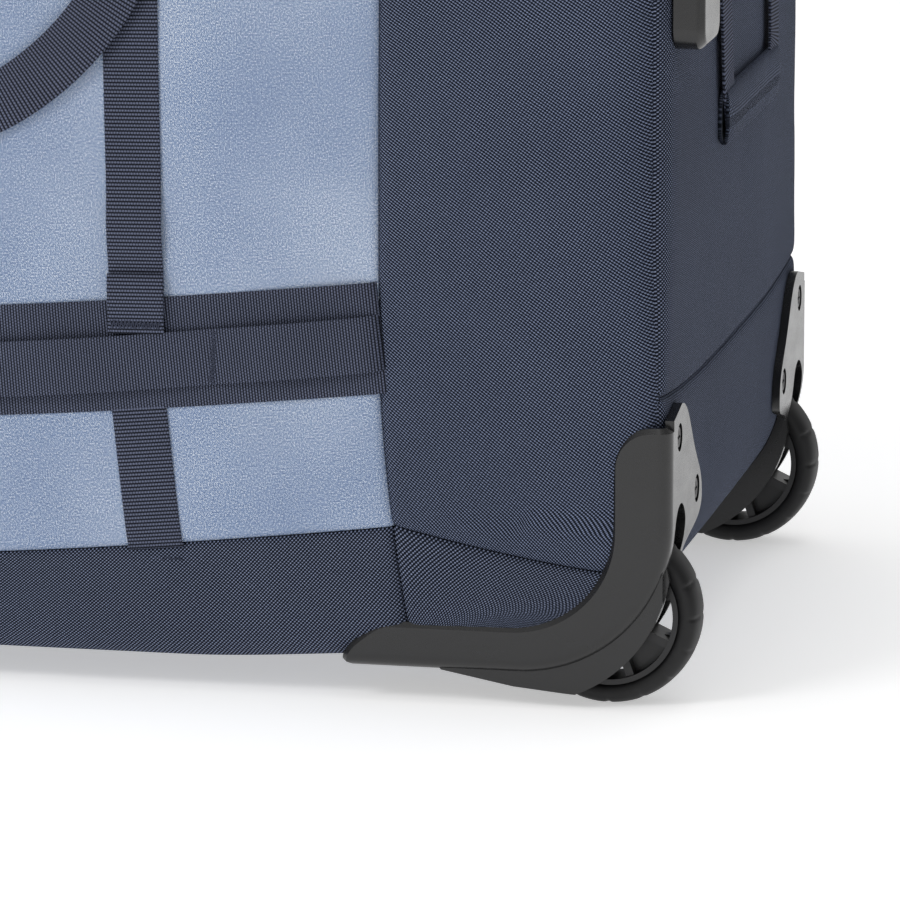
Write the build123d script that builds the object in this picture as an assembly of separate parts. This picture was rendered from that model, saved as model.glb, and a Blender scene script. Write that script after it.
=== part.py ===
from build123d import *
import os

# Rolling duffel bag lying on its wheels and front feet, in millimetres.
# +X points to the wheel end, +Y to the bag's left side, +Z up. The origin is on the
# ground, under the middle of the bag.

# Overall envelope
LENGTH = 810.0
HALF_LENGTH = LENGTH / 2
SHELL_X = 391.0  # outer faces of both end walls
SHELL_Y = 186.5  # outer faces of both side walls
SHELL_BOTTOM = 19.0
SHELL_TOP = 345.0
WALL = 3.5
BASE_FABRIC = 3.0
WALL_FOOT = SHELL_BOTTOM + BASE_FABRIC
WALL_HEAD = SHELL_TOP - WALL
INNER_X = SHELL_X - WALL
INNER_Y = SHELL_Y - WALL

# Wheels
WHEEL_R = 40.0
WHEEL_X = HALF_LENGTH - WHEEL_R
WHEEL_Y = 165.0
WHEEL_Z = WHEEL_R
TYRE_WIDTH = 24.0
RIM_R = 31.0
HUB_WIDTH = 20.4
RIM_WALL = 2.4
BOSS_WALL = 3.0
HUB_WEB = 5.0
RIB_WIDTH = 3.6
BAY_WIDTH = 16.0
FIRST_BAY = -2.5
BEARING_R = 11.0
BEARING_BORE_R = 4.0
BEARING_WIDTH = 7.0
AXLE_HEAD_R = 6.4
RUNNING_GAP = 0.05

# Corner guards and wheel wells
GUARD_Y = 190.0
SKIN = 4.0
PLATE_X = SHELL_X + SKIN
GUARD_BOTTOM = SHELL_BOTTOM - SKIN
CORNER_R = 68.0
CORNER_X = PLATE_X - CORNER_R
CORNER_Z = GUARD_BOTTOM + CORNER_R
INNER_CORNER_R = 44.0
GUARD_LEG_TOP = 36.0
GUARD_INNER_X = 368.5
GUARD_TIP_X = 249.0
GUARD_SIDE_TOP = 126.5
GUARD_PLATE_TOP = 133.0
GUARD_INNER_Y = 142.0
EAR = 33.0
SHOULDER_R = 18.0
GUARD_ROUNDING = 7.0
LIP = 2.2
WELL_LOW_Y = 144.0
WELL_HIGH_Y = 182.6
WELL_ROOF_R = 48.0
WELL_R = 44.0
WELL_GAP_LOW_Y = 150.5
WELL_GAP_HIGH_Y = 179.5
SLOT_HALF_WIDTH = 14.0
SLOT_STRAIGHT_TOP = 75.0
WELL_CUT_Y = 135.0
WELL_CUT_Z = 93.5
WELL_CUT_X = 314.5
FABRIC_CORNER_R = 50.0
SCREW_R = 2.25
SCREW_HEAD_R = 4.4
SCREW_HEAD = 2.4
END_RECESS_R = 6.2
END_SCREWS = [(167.5, 119.0), (122.5, 87.0)]
LEG_SCREWS = [(264.0, 172.0), (284.0, 160.0)]

# Panels: seams between the colours
END_SEAM_X = 267.0
BASE_SEAM_Z = 66.0
KICK_SEAM_Z = 134.0

# Base and telescopic handle
BOARD_TOP = 25.0
FLOOR_LOW = 61.0
FLOOR_HIGH = 63.0
TUBE_Y = 80.0
TUBE_Z = 42.0
TUBE_WALL = 1.0
OUTER_R = 11.0
MIDDLE_R = 9.8
INNER_R = 8.7
OUTER_TUBE = (-348.0, 335.0)
MIDDLE_TUBE = (-356.0, 94.0)
INNER_TUBE = (-378.0, 72.0)
COLLAR_GAP = 0.08
SLEEVE_GAP = 0.03
GRIP_FRONT = -403.6
GRIP_BACK = -382.0
GRIP_HALF_WIDTH = 100.0
GRIP_HALF_HEIGHT = 11.0
GRIP_SOCKET_END = -366.0
BUTTON_HALF_WIDTH = 17.5
BUTTON_HALF_HEIGHT = 5.5
BUTTON_GAP = 0.3
CUP_HALF_WIDTH = 106.0
CUP_LOW = 27.4
CUP_HIGH = 57.0
CUP_WALL = 2.4
CUP_BACK = -351.0
CUP_FLANGE = 2.0

# Feet
FOOT_X = (-374.0, -312.0)
FOOT_Y = (118.0, 176.0)
END_FOOT_Y = (128.0, 172.0)
END_FOOT_Z = (288.0, 322.0)

# Webbing
WEB = 1.5
BAND_WIDTH = 50.0
BAND_Z = 152.5
STRAP_WIDTH = 25.0
DAISY_Z = 150.0
TACK_X = [64.0, 194.0]
LOOP_RISE = 2.6
HAUL_X = 158.0
HAUL_HINGE_Z = 332.0
HAUL_HINGE_Y = 192.2
HAUL_WRAP_HALF = 62.0
HAUL_DROP = 88.0
END_HINGE_X = 396.6
END_HINGE_Z = 300.0
END_LEG_Y = 66.0
END_DROP = 56.0
WRAP_THICK = 8.8
WRAP_TALL = 26.0
EYE_R = 2.4

# Lid and zipper
LID_FRONT = -330.0
LID_HINGE_X = 300.0
LID_HALF_WIDTH = 150.0
LID_CORNER_R = 60.0
LID_GAP = 0.5
CHAIN_WIDTH = 8.6
CHAIN_TOP = 345.0
SLIDER_X = -262.0
SLIDER_LENGTH = 13.0
SLIDER_WIDTH = 7.4
SLIDER_LOW = 345.4
SLIDER_HIGH = 348.4
PIN_Z = 350.4
PIN_R = 0.9
PULL_LENGTH = 34.0


def save(node, shape):
    export_step(shape, "parts/" + node + ".step")


def block(x_span, y_span, z_span):
    spans = (x_span, y_span, z_span)
    centre = [sum(span) / 2 for span in spans]
    size = [abs(span[1] - span[0]) for span in spans]
    return Pos(*centre) * Box(*size)


def rod_x(y, z, radius, x_span):
    middle = sum(x_span) / 2
    return Pos(middle, y, z) * Rot(0, 90, 0) * Cylinder(radius, x_span[1] - x_span[0])


def rod_y(x, z, radius, y_span):
    middle = sum(y_span) / 2
    return Pos(x, middle, z) * Rot(90, 0, 0) * Cylinder(radius, y_span[1] - y_span[0])


def rod_z(x, y, radius, z_span):
    middle = sum(z_span) / 2
    return Pos(x, y, middle) * Cylinder(radius, z_span[1] - z_span[0])


def slab(profile, y_span):
    """Side-view profile (x, z) given a thickness across the bag."""
    return Pos(0, y_span[1], 0) * extrude(Plane.XZ * profile, amount=y_span[1] - y_span[0])


def flipped(shape):
    """The same piece on the right side of the bag."""
    return mirror(shape, about=Plane.XZ)


def both(shape):
    return Compound(children=[*shape.solids(), *flipped(shape).solids()])


def group(shapes):
    return Compound(children=[solid for shape in shapes for solid in shape.solids()])


def save_pair(name, shape):
    save(name + "_l", shape)
    save(name + "_r", flipped(shape))


def disc(x, z, radius):
    return Pos(x, z) * Circle(radius)


def patch(x_span, z_span):
    centre = (sum(x_span) / 2, sum(z_span) / 2)
    return Pos(*centre) * Rectangle(x_span[1] - x_span[0], z_span[1] - z_span[0])


# Fabric shell


def base_fabric():
    flat = block((-SHELL_X, CORNER_X), (-SHELL_Y, SHELL_Y), (SHELL_BOTTOM, WALL_FOOT))
    flat -= both(block((WELL_CUT_X, CORNER_X + 1), (WELL_CUT_Y, SHELL_Y + 1), (0, 40)))
    outer_r = CORNER_R - SKIN
    ring = disc(CORNER_X, CORNER_Z, outer_r) - disc(CORNER_X, CORNER_Z, outer_r - BASE_FABRIC)
    quarter = ring & patch((CORNER_X, SHELL_X), (SHELL_BOTTOM, CORNER_Z))
    return flat + slab(quarter, (-WELL_CUT_Y, WELL_CUT_Y))


def kick_panel():
    panel = block((INNER_X, SHELL_X), (-INNER_Y, INNER_Y), (CORNER_Z, KICK_SEAM_Z))
    panel -= both(block((0, 400), (WELL_CUT_Y, 200), (0, WELL_CUT_Z)))
    for y, z in END_SCREWS:
        panel -= both(rod_x(y, z, SCREW_R, (370, 400)))
    return panel


def wheel_end_panel():
    return block((INNER_X, SHELL_X), (-INNER_Y, INNER_Y), (KICK_SEAM_Z, WALL_HEAD))


def front_end_panel():
    panel = block((-SHELL_X, -INNER_X), (-INNER_Y, INNER_Y), (WALL_FOOT, WALL_HEAD))
    reach = CUP_WALL + 0.3
    window_y = CUP_HALF_WIDTH + reach
    window = block((-400, -380), (-window_y, window_y), (CUP_LOW - reach, CUP_HIGH + reach))
    return panel - window


def side_wall(x_span, z_span):
    return block(x_span, (INNER_Y, SHELL_Y), z_span)


def wheel_end_side():
    """Side wall beside the wheel, its lower corner cut back under the corner guard."""
    wall = patch((END_SEAM_X, SHELL_X), (WALL_FOOT, WALL_HEAD))
    corner = patch((CORNER_X, SHELL_X), (WALL_FOOT, CORNER_Z))
    wall -= corner - disc(CORNER_X, CORNER_Z, FABRIC_CORNER_R)
    return slab(wall, (INNER_Y, SHELL_Y))


def lid_outline(grow):
    """Lid plan with its free corners rounded, grown outwards by a margin."""
    front = LID_FRONT - grow
    half = LID_HALF_WIDTH + grow
    middle = (front + LID_HINGE_X) / 2
    plan = Pos(middle, 0) * Rectangle(LID_HINGE_X - front, 2 * half)
    corners = plan.vertices().filter_by_position(Axis.X, front - 1, front + 1)
    return fillet(corners, LID_CORNER_R + grow)


def level(plan, z_span):
    return Pos(0, 0, z_span[0]) * extrude(plan, amount=z_span[1] - z_span[0])


def top_border():
    plan = Rectangle(2 * SHELL_X, 2 * SHELL_Y) - lid_outline(LID_GAP + CHAIN_WIDTH)
    return level(plan, (WALL_HEAD, SHELL_TOP))


def zipper_chain():
    plan = lid_outline(LID_GAP + CHAIN_WIDTH) - lid_outline(LID_GAP)
    return level(plan, (CHAIN_TOP - 3, CHAIN_TOP))


def lid_panel():
    plan = lid_outline(0) - Pos(LID_HINGE_X, 0) * Rectangle(2, 400)
    return level(plan, (WALL_HEAD, SHELL_TOP))


def fabric_shell():
    save("wheel_end_kick_panel", kick_panel())
    save("wheel_end_panel", wheel_end_panel())
    save("front_end_panel", front_end_panel())
    middle = (-END_SEAM_X, END_SEAM_X)
    save_pair("side_panel", side_wall(middle, (BASE_SEAM_Z, WALL_HEAD)))
    save_pair("side_base", side_wall(middle, (WALL_FOOT, BASE_SEAM_Z)))
    save_pair("front_end_side", side_wall((-SHELL_X, -END_SEAM_X), (WALL_FOOT, WALL_HEAD)))
    save_pair("wheel_end_side", wheel_end_side())
    save("top_border", top_border())
    save("zipper_chain", zipper_chain())
    save("lid_panel", lid_panel())


# Corner guard, wheel well and wheel


def guard_profile():
    """L-shaped side view of the guard: lower leg, rounded corner and upper leg."""
    leg_top = GUARD_LEG_TOP
    upper_inner_x = GUARD_INNER_X
    inner_x, inner_z = upper_inner_x - INNER_CORNER_R, leg_top + INNER_CORNER_R
    shoulder = GUARD_SIDE_TOP - SHOULDER_R
    outline = [
        Line((GUARD_TIP_X + 5, GUARD_BOTTOM), (CORNER_X, GUARD_BOTTOM)),
        CenterArc((CORNER_X, CORNER_Z), CORNER_R, -90, 90),
        Line((PLATE_X, CORNER_Z), (PLATE_X, GUARD_SIDE_TOP)),
        Line((PLATE_X, GUARD_SIDE_TOP), (upper_inner_x + SHOULDER_R, GUARD_SIDE_TOP)),
        CenterArc((upper_inner_x + SHOULDER_R, shoulder), SHOULDER_R, 90, 90),
        Line((upper_inner_x, shoulder), (upper_inner_x, inner_z)),
        CenterArc((inner_x, inner_z), INNER_CORNER_R, -90, 90),
        Line((inner_x, leg_top), (GUARD_TIP_X + 24, leg_top)),
        Spline(
            (GUARD_TIP_X + 24, leg_top),
            (GUARD_TIP_X + 8, GUARD_BOTTOM + 14),
            (GUARD_TIP_X, GUARD_BOTTOM + 3),
            tangents=[(-1, 0), (-0.2, -1)],
        ),
        Line((GUARD_TIP_X, GUARD_BOTTOM + 3), (GUARD_TIP_X + 5, GUARD_BOTTOM)),
    ]
    return make_face(outline)


def guard_inside():
    """Side view of the room that the bag's own corner takes up inside the guard."""
    corner = disc(CORNER_X, CORNER_Z, CORNER_R - SKIN + 0.3)
    return corner + patch((200, CORNER_X), (SHELL_BOTTOM, 150)) + patch((200, SHELL_X), (CORNER_Z, 150))


def on_outer_rim(edge):
    """Whether an edge of the side face runs along the guard's bottom, heel or back."""
    middle = edge @ 0.5
    from_centre = ((middle.X - CORNER_X) ** 2 + (middle.Z - CORNER_Z) ** 2) ** 0.5
    heel = middle.X > CORNER_X and middle.Z < CORNER_Z and from_centre > CORNER_R - 1
    back = middle.X > PLATE_X - 1
    bottom = middle.Z < GUARD_BOTTOM + 0.5
    return back or bottom or heel


def on_inner_rim(edge):
    """Whether an edge of the side face runs along the guard's inner outline."""
    middle = edge @ 0.5
    return middle.Z > GUARD_BOTTOM + 12 and middle.X < PLATE_X - 9


def guard():
    """Side band and wrap-round skin, rounded along the outer rim, with a lip along the inner."""
    solid = slab(guard_profile(), (GUARD_INNER_Y - EAR, GUARD_Y))
    side = solid.faces().filter_by(Axis.Y).sort_by(Axis.Y)[-1]
    solid = fillet([edge for edge in side.edges() if on_outer_rim(edge)], GUARD_ROUNDING)
    side = solid.faces().filter_by(Axis.Y).sort_by(Axis.Y)[-1]
    solid = chamfer([edge for edge in side.edges() if on_inner_rim(edge)], LIP)
    plate = patch((SHELL_X, PLATE_X), (CORNER_Z, GUARD_PLATE_TOP))
    solid += slab(plate, (GUARD_INNER_Y - EAR, GUARD_Y - GUARD_ROUNDING - 1))
    solid -= slab(guard_inside(), (0, SHELL_Y))
    return solid - guard_trim()


def guard_trim():
    """What is cut off the skin: above the slanted top and inward of the rounded ear."""
    ear_tip = GUARD_INNER_Y - EAR
    above = [(GUARD_Y + 5, GUARD_SIDE_TOP), (GUARD_Y, GUARD_SIDE_TOP), (182, 129), (162, GUARD_PLATE_TOP)]
    outline = [
        Polyline((GUARD_INNER_Y, 0), (50, 0), (50, 150), (GUARD_Y + 5, 150), *above),
        Spline(
            (162, GUARD_PLATE_TOP),
            (147.5, 127),
            (134, 112.5),
            (122, 100.5),
            (ear_tip + 1.5, 87),
            (ear_tip + 1.5, 78),
            (124, 70.5),
            (GUARD_INNER_Y, 65),
        ),
        Line((GUARD_INNER_Y, 65), (GUARD_INNER_Y, 0)),
    ]
    return extrude(Plane.YZ * make_face(outline), amount=420)


def fender_region():
    """Everything of the housing lies inside this side-view region."""
    outline = [
        Polyline((290, SHELL_BOTTOM), (293, GUARD_BOTTOM), (325, 9), (347, 6.9), (352.5, 6.5)),
        ThreePointArc((352.5, 6.5), (378.7, 25.7), (393.3, 58)),
        Polyline((393.3, 58), (SHELL_X, 70), (SHELL_X, 96), (290, 96), (290, SHELL_BOTTOM)),
    ]
    return make_face(outline)


def wheel_clearance():
    space = rod_y(WHEEL_X, WHEEL_Z, WELL_R, (WELL_GAP_LOW_Y, WELL_GAP_HIGH_Y))
    y_span = (WHEEL_Y - SLOT_HALF_WIDTH, WHEEL_Y + SLOT_HALF_WIDTH)
    space += block((WHEEL_X, 410), y_span, (-5, SLOT_STRAIGHT_TOP))
    return space + rod_x(WHEEL_Y, SLOT_STRAIGHT_TOP, SLOT_HALF_WIDTH, (WHEEL_X, 410))


def well():
    region = fender_region()
    roof = disc(WHEEL_X, WHEEL_Z, WELL_ROOF_R) + patch((WHEEL_X, SHELL_X), (WHEEL_Z, 92))
    toe = patch((290, 345), (6, SHELL_BOTTOM))
    inside = slab(roof & region, (WELL_LOW_Y, WELL_HIGH_Y))
    beyond = region & (roof + toe)
    corner = patch((CORNER_X + 0.4, SHELL_X), (0, CORNER_Z - 0.4))
    cheek = (beyond & corner) - disc(CORNER_X, CORNER_Z, FABRIC_CORNER_R + 0.4)
    outside = slab(cheek, (WELL_LOW_Y, SHELL_Y))
    front = slab(toe & region, (WELL_LOW_Y, SHELL_Y))
    return inside + outside + front


def wheel_housing():
    body = guard() + well()
    body -= wheel_clearance()
    shaft_end = GUARD_Y - 3
    body -= rod_y(WHEEL_X, WHEEL_Z, BEARING_BORE_R + SLEEVE_GAP, (100, shaft_end))
    for y, z in END_SCREWS:
        body -= rod_x(y, z, SCREW_R, (370, 400))
        body -= rod_x(y, z, END_RECESS_R, (PLATE_X - SCREW_HEAD, 400))
    for x, y in LEG_SCREWS:
        body -= rod_z(x, y, SCREW_R, (0, 30))
        body -= rod_z(x, y, SCREW_HEAD_R + 0.4, (0, GUARD_BOTTOM + SCREW_HEAD))
    return body


def tyre():
    half = TYRE_WIDTH / 2
    section = Pos((RIM_R + WHEEL_R) / 2, 0) * Rectangle(WHEEL_R - RIM_R, 2 * half)
    outer = section.vertices().filter_by_position(Axis.X, WHEEL_R - 1, WHEEL_R + 1)
    section = fillet(outer, 6)
    ring = revolve(Plane.XZ * section, Axis.Z)
    return Pos(WHEEL_X, WHEEL_Y, WHEEL_Z) * Rot(90, 0, 0) * ring


def hub():
    """Moulded hub: thin rim, boss and eight ribs, with every second bay open."""
    rim = Cylinder(RIM_R, HUB_WIDTH) - Cylinder(RIM_R - RIM_WALL, HUB_WIDTH)
    boss = Cylinder(BEARING_R + BOSS_WALL, HUB_WIDTH)
    web = Cylinder(RIM_R - 1, HUB_WEB)
    for count in range(4):
        window = Box(RIM_R - BEARING_R, BAY_WIDTH, 2 * HUB_WEB)
        web -= Rot(0, 0, FIRST_BAY + 90 * count) * Pos((RIM_R + BEARING_R) / 2 + 1, 0, 0) * window
    rib_length = RIM_R - 1
    for count in range(8):
        rib = Pos(rib_length / 2, 0, 0) * Box(rib_length, RIB_WIDTH, HUB_WIDTH - 3)
        web += Rot(0, 0, FIRST_BAY + 22.5 + 45 * count) * rib
    wheel = rim + boss + web - Cylinder(BEARING_R + 0.02, HUB_WIDTH)
    return Pos(WHEEL_X, WHEEL_Y, WHEEL_Z) * Rot(90, 0, 0) * wheel


def bearing(y_low):
    span = (y_low, y_low + BEARING_WIDTH)
    race = rod_y(WHEEL_X, WHEEL_Z, BEARING_R, span)
    for face in span:
        middle = WHEEL_Y if abs(face - WHEEL_Y) < 5 else face
        groove = (middle - 0.4, middle + 0.4)
        shield = rod_y(WHEEL_X, WHEEL_Z, 9.2, groove) - rod_y(WHEEL_X, WHEEL_Z, 6, groove)
        race -= shield
    return race - rod_y(WHEEL_X, WHEEL_Z, BEARING_BORE_R + RUNNING_GAP, span)


def bearings():
    half = HUB_WIDTH / 2
    return group([bearing(WHEEL_Y - half), bearing(WHEEL_Y + half - BEARING_WIDTH)])


def bearing_spacers():
    half = HUB_WIDTH / 2
    inner = half - BEARING_WIDTH - 0.15
    spans = [
        (WELL_GAP_LOW_Y, WHEEL_Y - half - 0.15),
        (WHEEL_Y - inner, WHEEL_Y + inner),
        (WHEEL_Y + half + 0.15, WELL_GAP_HIGH_Y),
    ]
    sleeves = []
    for span in spans:
        sleeve = rod_y(WHEEL_X, WHEEL_Z, 5.8, span)
        sleeves.append(sleeve - rod_y(WHEEL_X, WHEEL_Z, BEARING_BORE_R + SLEEVE_GAP, span))
    return group(sleeves)


def wheel_axle():
    shaft = rod_y(WHEEL_X, WHEEL_Z, BEARING_BORE_R, (136, GUARD_Y - 3.5))
    hexagon = extrude(RegularPolygon(AXLE_HEAD_R, 6), 2.4, both=True)
    return shaft + Pos(WHEEL_X, 138.5, WHEEL_Z) * Rot(90, 0, 0) * hexagon


def axle_washer():
    span = (141, WELL_LOW_Y)
    washer = rod_y(WHEEL_X, WHEEL_Z, AXLE_HEAD_R, span)
    return washer - rod_y(WHEEL_X, WHEEL_Z, BEARING_BORE_R + SLEEVE_GAP, span)


def end_screw(y, z):
    head = rod_x(y, z, SCREW_HEAD_R, (PLATE_X - SCREW_HEAD, PLATE_X - 0.5))
    head -= block((PLATE_X - 1.6, PLATE_X), (y - 3, y + 3), (z - 0.6, z + 0.6))
    head -= block((PLATE_X - 1.6, PLATE_X), (y - 0.6, y + 0.6), (z - 3, z + 3))
    return head + rod_x(y, z, SCREW_R, (INNER_X - 6, PLATE_X - SCREW_HEAD))


def leg_screw(x, y):
    head = rod_z(x, y, SCREW_HEAD_R, (GUARD_BOTTOM + 0.5, GUARD_BOTTOM + SCREW_HEAD))
    return head + rod_z(x, y, SCREW_R, (GUARD_BOTTOM + SCREW_HEAD, BOARD_TOP))


def housing_screws():
    screws = [end_screw(y, z) for y, z in END_SCREWS] + [leg_screw(x, y) for x, y in LEG_SCREWS]
    return both(group(screws))


def housing_backing():
    plate_x = (INNER_X - 3, INNER_X)
    plate = block(plate_x, (112, 182), (94, 130)) + block(plate_x, (112, 134), (80, 94))
    for y, z in END_SCREWS:
        plate -= rod_x(y, z, SCREW_R, (370, 400))
    return both(plate)


def wheels():
    save_pair("wheel_housing", wheel_housing())
    save_pair("tyre", tyre())
    save_pair("hub", hub())
    save_pair("bearings", bearings())
    save("bearing_spacers", both(bearing_spacers()))
    save("wheel_axles", both(wheel_axle()))
    save("axle_washers", both(axle_washer()))
    save("housing_screws", housing_screws())
    save("housing_backing", housing_backing())


# Base, feet and telescopic handle


def foot_screw_places():
    middle_y = sum(FOOT_Y) / 2
    return [(FOOT_X[0] + 15, middle_y), (FOOT_X[1] - 15, middle_y)]


def base_board():
    board = block((-380, 310), (-178, 178), (WALL_FOOT, BOARD_TOP))
    for x, y in LEG_SCREWS + foot_screw_places():
        board -= both(rod_z(x, y, SCREW_R, (0, 40)))
    return board


def pierced_base_fabric():
    fabric = base_fabric()
    for x, y in LEG_SCREWS + foot_screw_places():
        fabric -= both(rod_z(x, y, SCREW_R, (0, 40)))
    return fabric


def front_foot():
    foot = block(FOOT_X, FOOT_Y, (0, SHELL_BOTTOM))
    foot = fillet(foot.edges().filter_by(Axis.Z), 12)
    foot = chamfer(foot.faces().sort_by(Axis.Z)[0].edges(), 4)
    for x, y in foot_screw_places():
        foot -= rod_z(x, y, SCREW_R, (0, 30))
        foot -= rod_z(x, y, SCREW_HEAD_R + 0.4, (0, 9))
    return foot


def foot_screw(x, y):
    head = rod_z(x, y, SCREW_HEAD_R, (6.6, 9))
    return head + rod_z(x, y, SCREW_R, (9, BOARD_TOP))


def end_foot():
    foot = block((SHELL_X, HALF_LENGTH), END_FOOT_Y, END_FOOT_Z)
    foot = fillet(foot.edges().filter_by(Axis.X), 10)
    return chamfer(foot.faces().sort_by(Axis.X)[-1].edges(), 3)


def floor_panel():
    panel = block((-383, 308), (-180, 180), (FLOOR_LOW, FLOOR_HIGH))
    return fillet(panel.edges().filter_by(Axis.Z), 15)


def tube_pair(radius, x_span):
    tube = rod_x(TUBE_Y, TUBE_Z, radius, x_span) - rod_x(TUBE_Y, TUBE_Z, radius - TUBE_WALL, x_span)
    return both(tube)


def collar_pair(outer_r, x_span, tube_end, tube_r, sliding_r):
    """Collar on a tube's front end, with a throat for the tube that slides out of it."""
    collar = rod_x(TUBE_Y, TUBE_Z, outer_r, x_span)
    collar -= rod_x(TUBE_Y, TUBE_Z, sliding_r + COLLAR_GAP, x_span)
    collar -= rod_x(TUBE_Y, TUBE_Z, tube_r + SLEEVE_GAP, (tube_end, x_span[1]))
    return both(collar)


def rear_tube_bracket():
    bracket = block((322, 345), (-100, 100), (BOARD_TOP + 1, FLOOR_LOW - 2))
    for y in (-TUBE_Y, TUBE_Y):
        bracket -= rod_x(y, TUBE_Z, OUTER_R + SLEEVE_GAP, (310, OUTER_TUBE[1] + 0.3))
    return fillet(bracket.edges().filter_by(Axis.X).group_by(Axis.Y)[0], 4)


def handle_cup():
    half = CUP_HALF_WIDTH
    wall = CUP_WALL
    z_span = (CUP_LOW - wall, CUP_HIGH + wall)
    outer = block((-SHELL_X, CUP_BACK + wall), (-half - wall, half + wall), z_span)
    flange_x = (-SHELL_X - CUP_FLANGE, -SHELL_X)
    outer += block(flange_x, (-half - 11, half + 11), (CUP_LOW - 8, CUP_HIGH + 10))
    cup = outer - block((-400, CUP_BACK), (-half, half), (CUP_LOW, CUP_HIGH))
    for y in (-TUBE_Y, TUBE_Y):
        cup -= rod_x(y, TUBE_Z, 12.55, (-360, -340))
    return cup


def grip():
    z_span = (TUBE_Z - GRIP_HALF_HEIGHT, TUBE_Z + GRIP_HALF_HEIGHT)
    bar = block((GRIP_FRONT, GRIP_BACK), (-GRIP_HALF_WIDTH, GRIP_HALF_WIDTH), z_span)
    bar = fillet(bar.edges().filter_by(Axis.Y), 6)
    bar += both(rod_x(TUBE_Y, TUBE_Z, OUTER_R - 0.5, (GRIP_BACK - 2, GRIP_SOCKET_END)))
    bar -= both(rod_x(TUBE_Y, TUBE_Z, INNER_R + SLEEVE_GAP, (INNER_TUBE[0], GRIP_SOCKET_END)))
    y_half = BUTTON_HALF_WIDTH + BUTTON_GAP
    z_half = BUTTON_HALF_HEIGHT + BUTTON_GAP
    slot = block((-410, -391), (-y_half, y_half), (TUBE_Z - z_half, TUBE_Z + z_half))
    return bar - slot


def push_button():
    y_span = (-BUTTON_HALF_WIDTH, BUTTON_HALF_WIDTH)
    z_span = (TUBE_Z - BUTTON_HALF_HEIGHT, TUBE_Z + BUTTON_HALF_HEIGHT)
    button = block((-HALF_LENGTH, -395), y_span, z_span)
    button = fillet(button.edges().filter_by(Axis.X), 4)
    return fillet(button.faces().sort_by(Axis.X)[0].edges(), 0.8)


def base_and_handle():
    save("base_fabric", pierced_base_fabric())
    save("base_board", base_board())
    save("floor_panel", floor_panel())
    save("front_feet", both(front_foot()))
    save("foot_screws", both(group([foot_screw(x, y) for x, y in foot_screw_places()])))
    save("end_feet", both(end_foot()))
    save("rear_tube_bracket", rear_tube_bracket())
    save("handle_cup", handle_cup())
    save("outer_tubes", tube_pair(OUTER_R, OUTER_TUBE))
    save("middle_tubes", tube_pair(MIDDLE_R, MIDDLE_TUBE))
    save("inner_tubes", tube_pair(INNER_R, INNER_TUBE))
    save("outer_collars", collar_pair(12.5, (-354, -341), OUTER_TUBE[0], OUTER_R, MIDDLE_R))
    save("middle_collars", collar_pair(11, (-362, -354.2), MIDDLE_TUBE[0], MIDDLE_R, INNER_R))
    save("grip", grip())
    save("push_button", push_button())


# Webbing and carry handles


def side_band():
    z_span = (BAND_Z - BAND_WIDTH / 2, BAND_Z + BAND_WIDTH / 2)
    return block((-END_SEAM_X, END_SEAM_X), (SHELL_Y, SHELL_Y + WEB), z_span)


def daisy_strap():
    """Narrow strap tacked down at intervals, standing off in a shallow loop between tacks."""
    stations = [-END_SEAM_X] + [-x for x in reversed(TACK_X)] + TACK_X + [END_SEAM_X]
    back = SHELL_Y + WEB
    strap = Part()
    for left, right in zip(stations[:-1], stations[1:]):
        middle = (left + right) / 2
        inner = [(left, back), (middle, back + LOOP_RISE), (right, back)]
        outer = [(x, y + WEB) for x, y in inner]
        outline = [
            ThreePointArc(*inner),
            Line(inner[2], outer[2]),
            ThreePointArc(*outer),
            Line(outer[0], inner[0]),
        ]
        face = make_face(outline)
        strap += Pos(0, 0, DAISY_Z - STRAP_WIDTH / 2) * extrude(face, amount=STRAP_WIDTH)
    return strap


def haul_leg(x):
    """Fixed part of a carry strap, sewn over the band and folded back on itself."""
    span = (x - STRAP_WIDTH / 2, x + STRAP_WIDTH / 2)
    low = DAISY_Z + STRAP_WIDTH / 2 + 0.5
    band_top = BAND_Z + BAND_WIDTH / 2
    layer = (SHELL_Y + WEB, SHELL_Y + 2 * WEB)
    strap = block(span, layer, (low, HAUL_HINGE_Z + 6))
    strap -= block(span, (SHELL_Y, HAUL_HINGE_Y + EYE_R), (HAUL_HINGE_Z - 3, HAUL_HINGE_Z + 3))
    fold = block(span, (layer[1], layer[1] + WEB), (low, band_top + 6))
    return strap + fold


def lower_strap(x):
    span = (x - STRAP_WIDTH / 2, x + STRAP_WIDTH / 2)
    return block(span, (SHELL_Y, SHELL_Y + WEB), (BASE_SEAM_Z - 3, BAND_Z - BAND_WIDTH / 2))


def leaning_leg(start, end, normal, width):
    """Flat webbing between two points, its flat side facing along the normal axis."""
    across = Vector(*normal)
    along = Vector(*end) - Vector(*start)
    side = along.cross(across).normalized() * (width / 2)
    corners = [Vector(*start) + side, Vector(*end) + side, Vector(*end) - side, Vector(*start) - side]
    face = make_face(Polyline(*corners, corners[0]))
    return extrude(face, amount=WEB / 2, dir=across, both=True)


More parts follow.
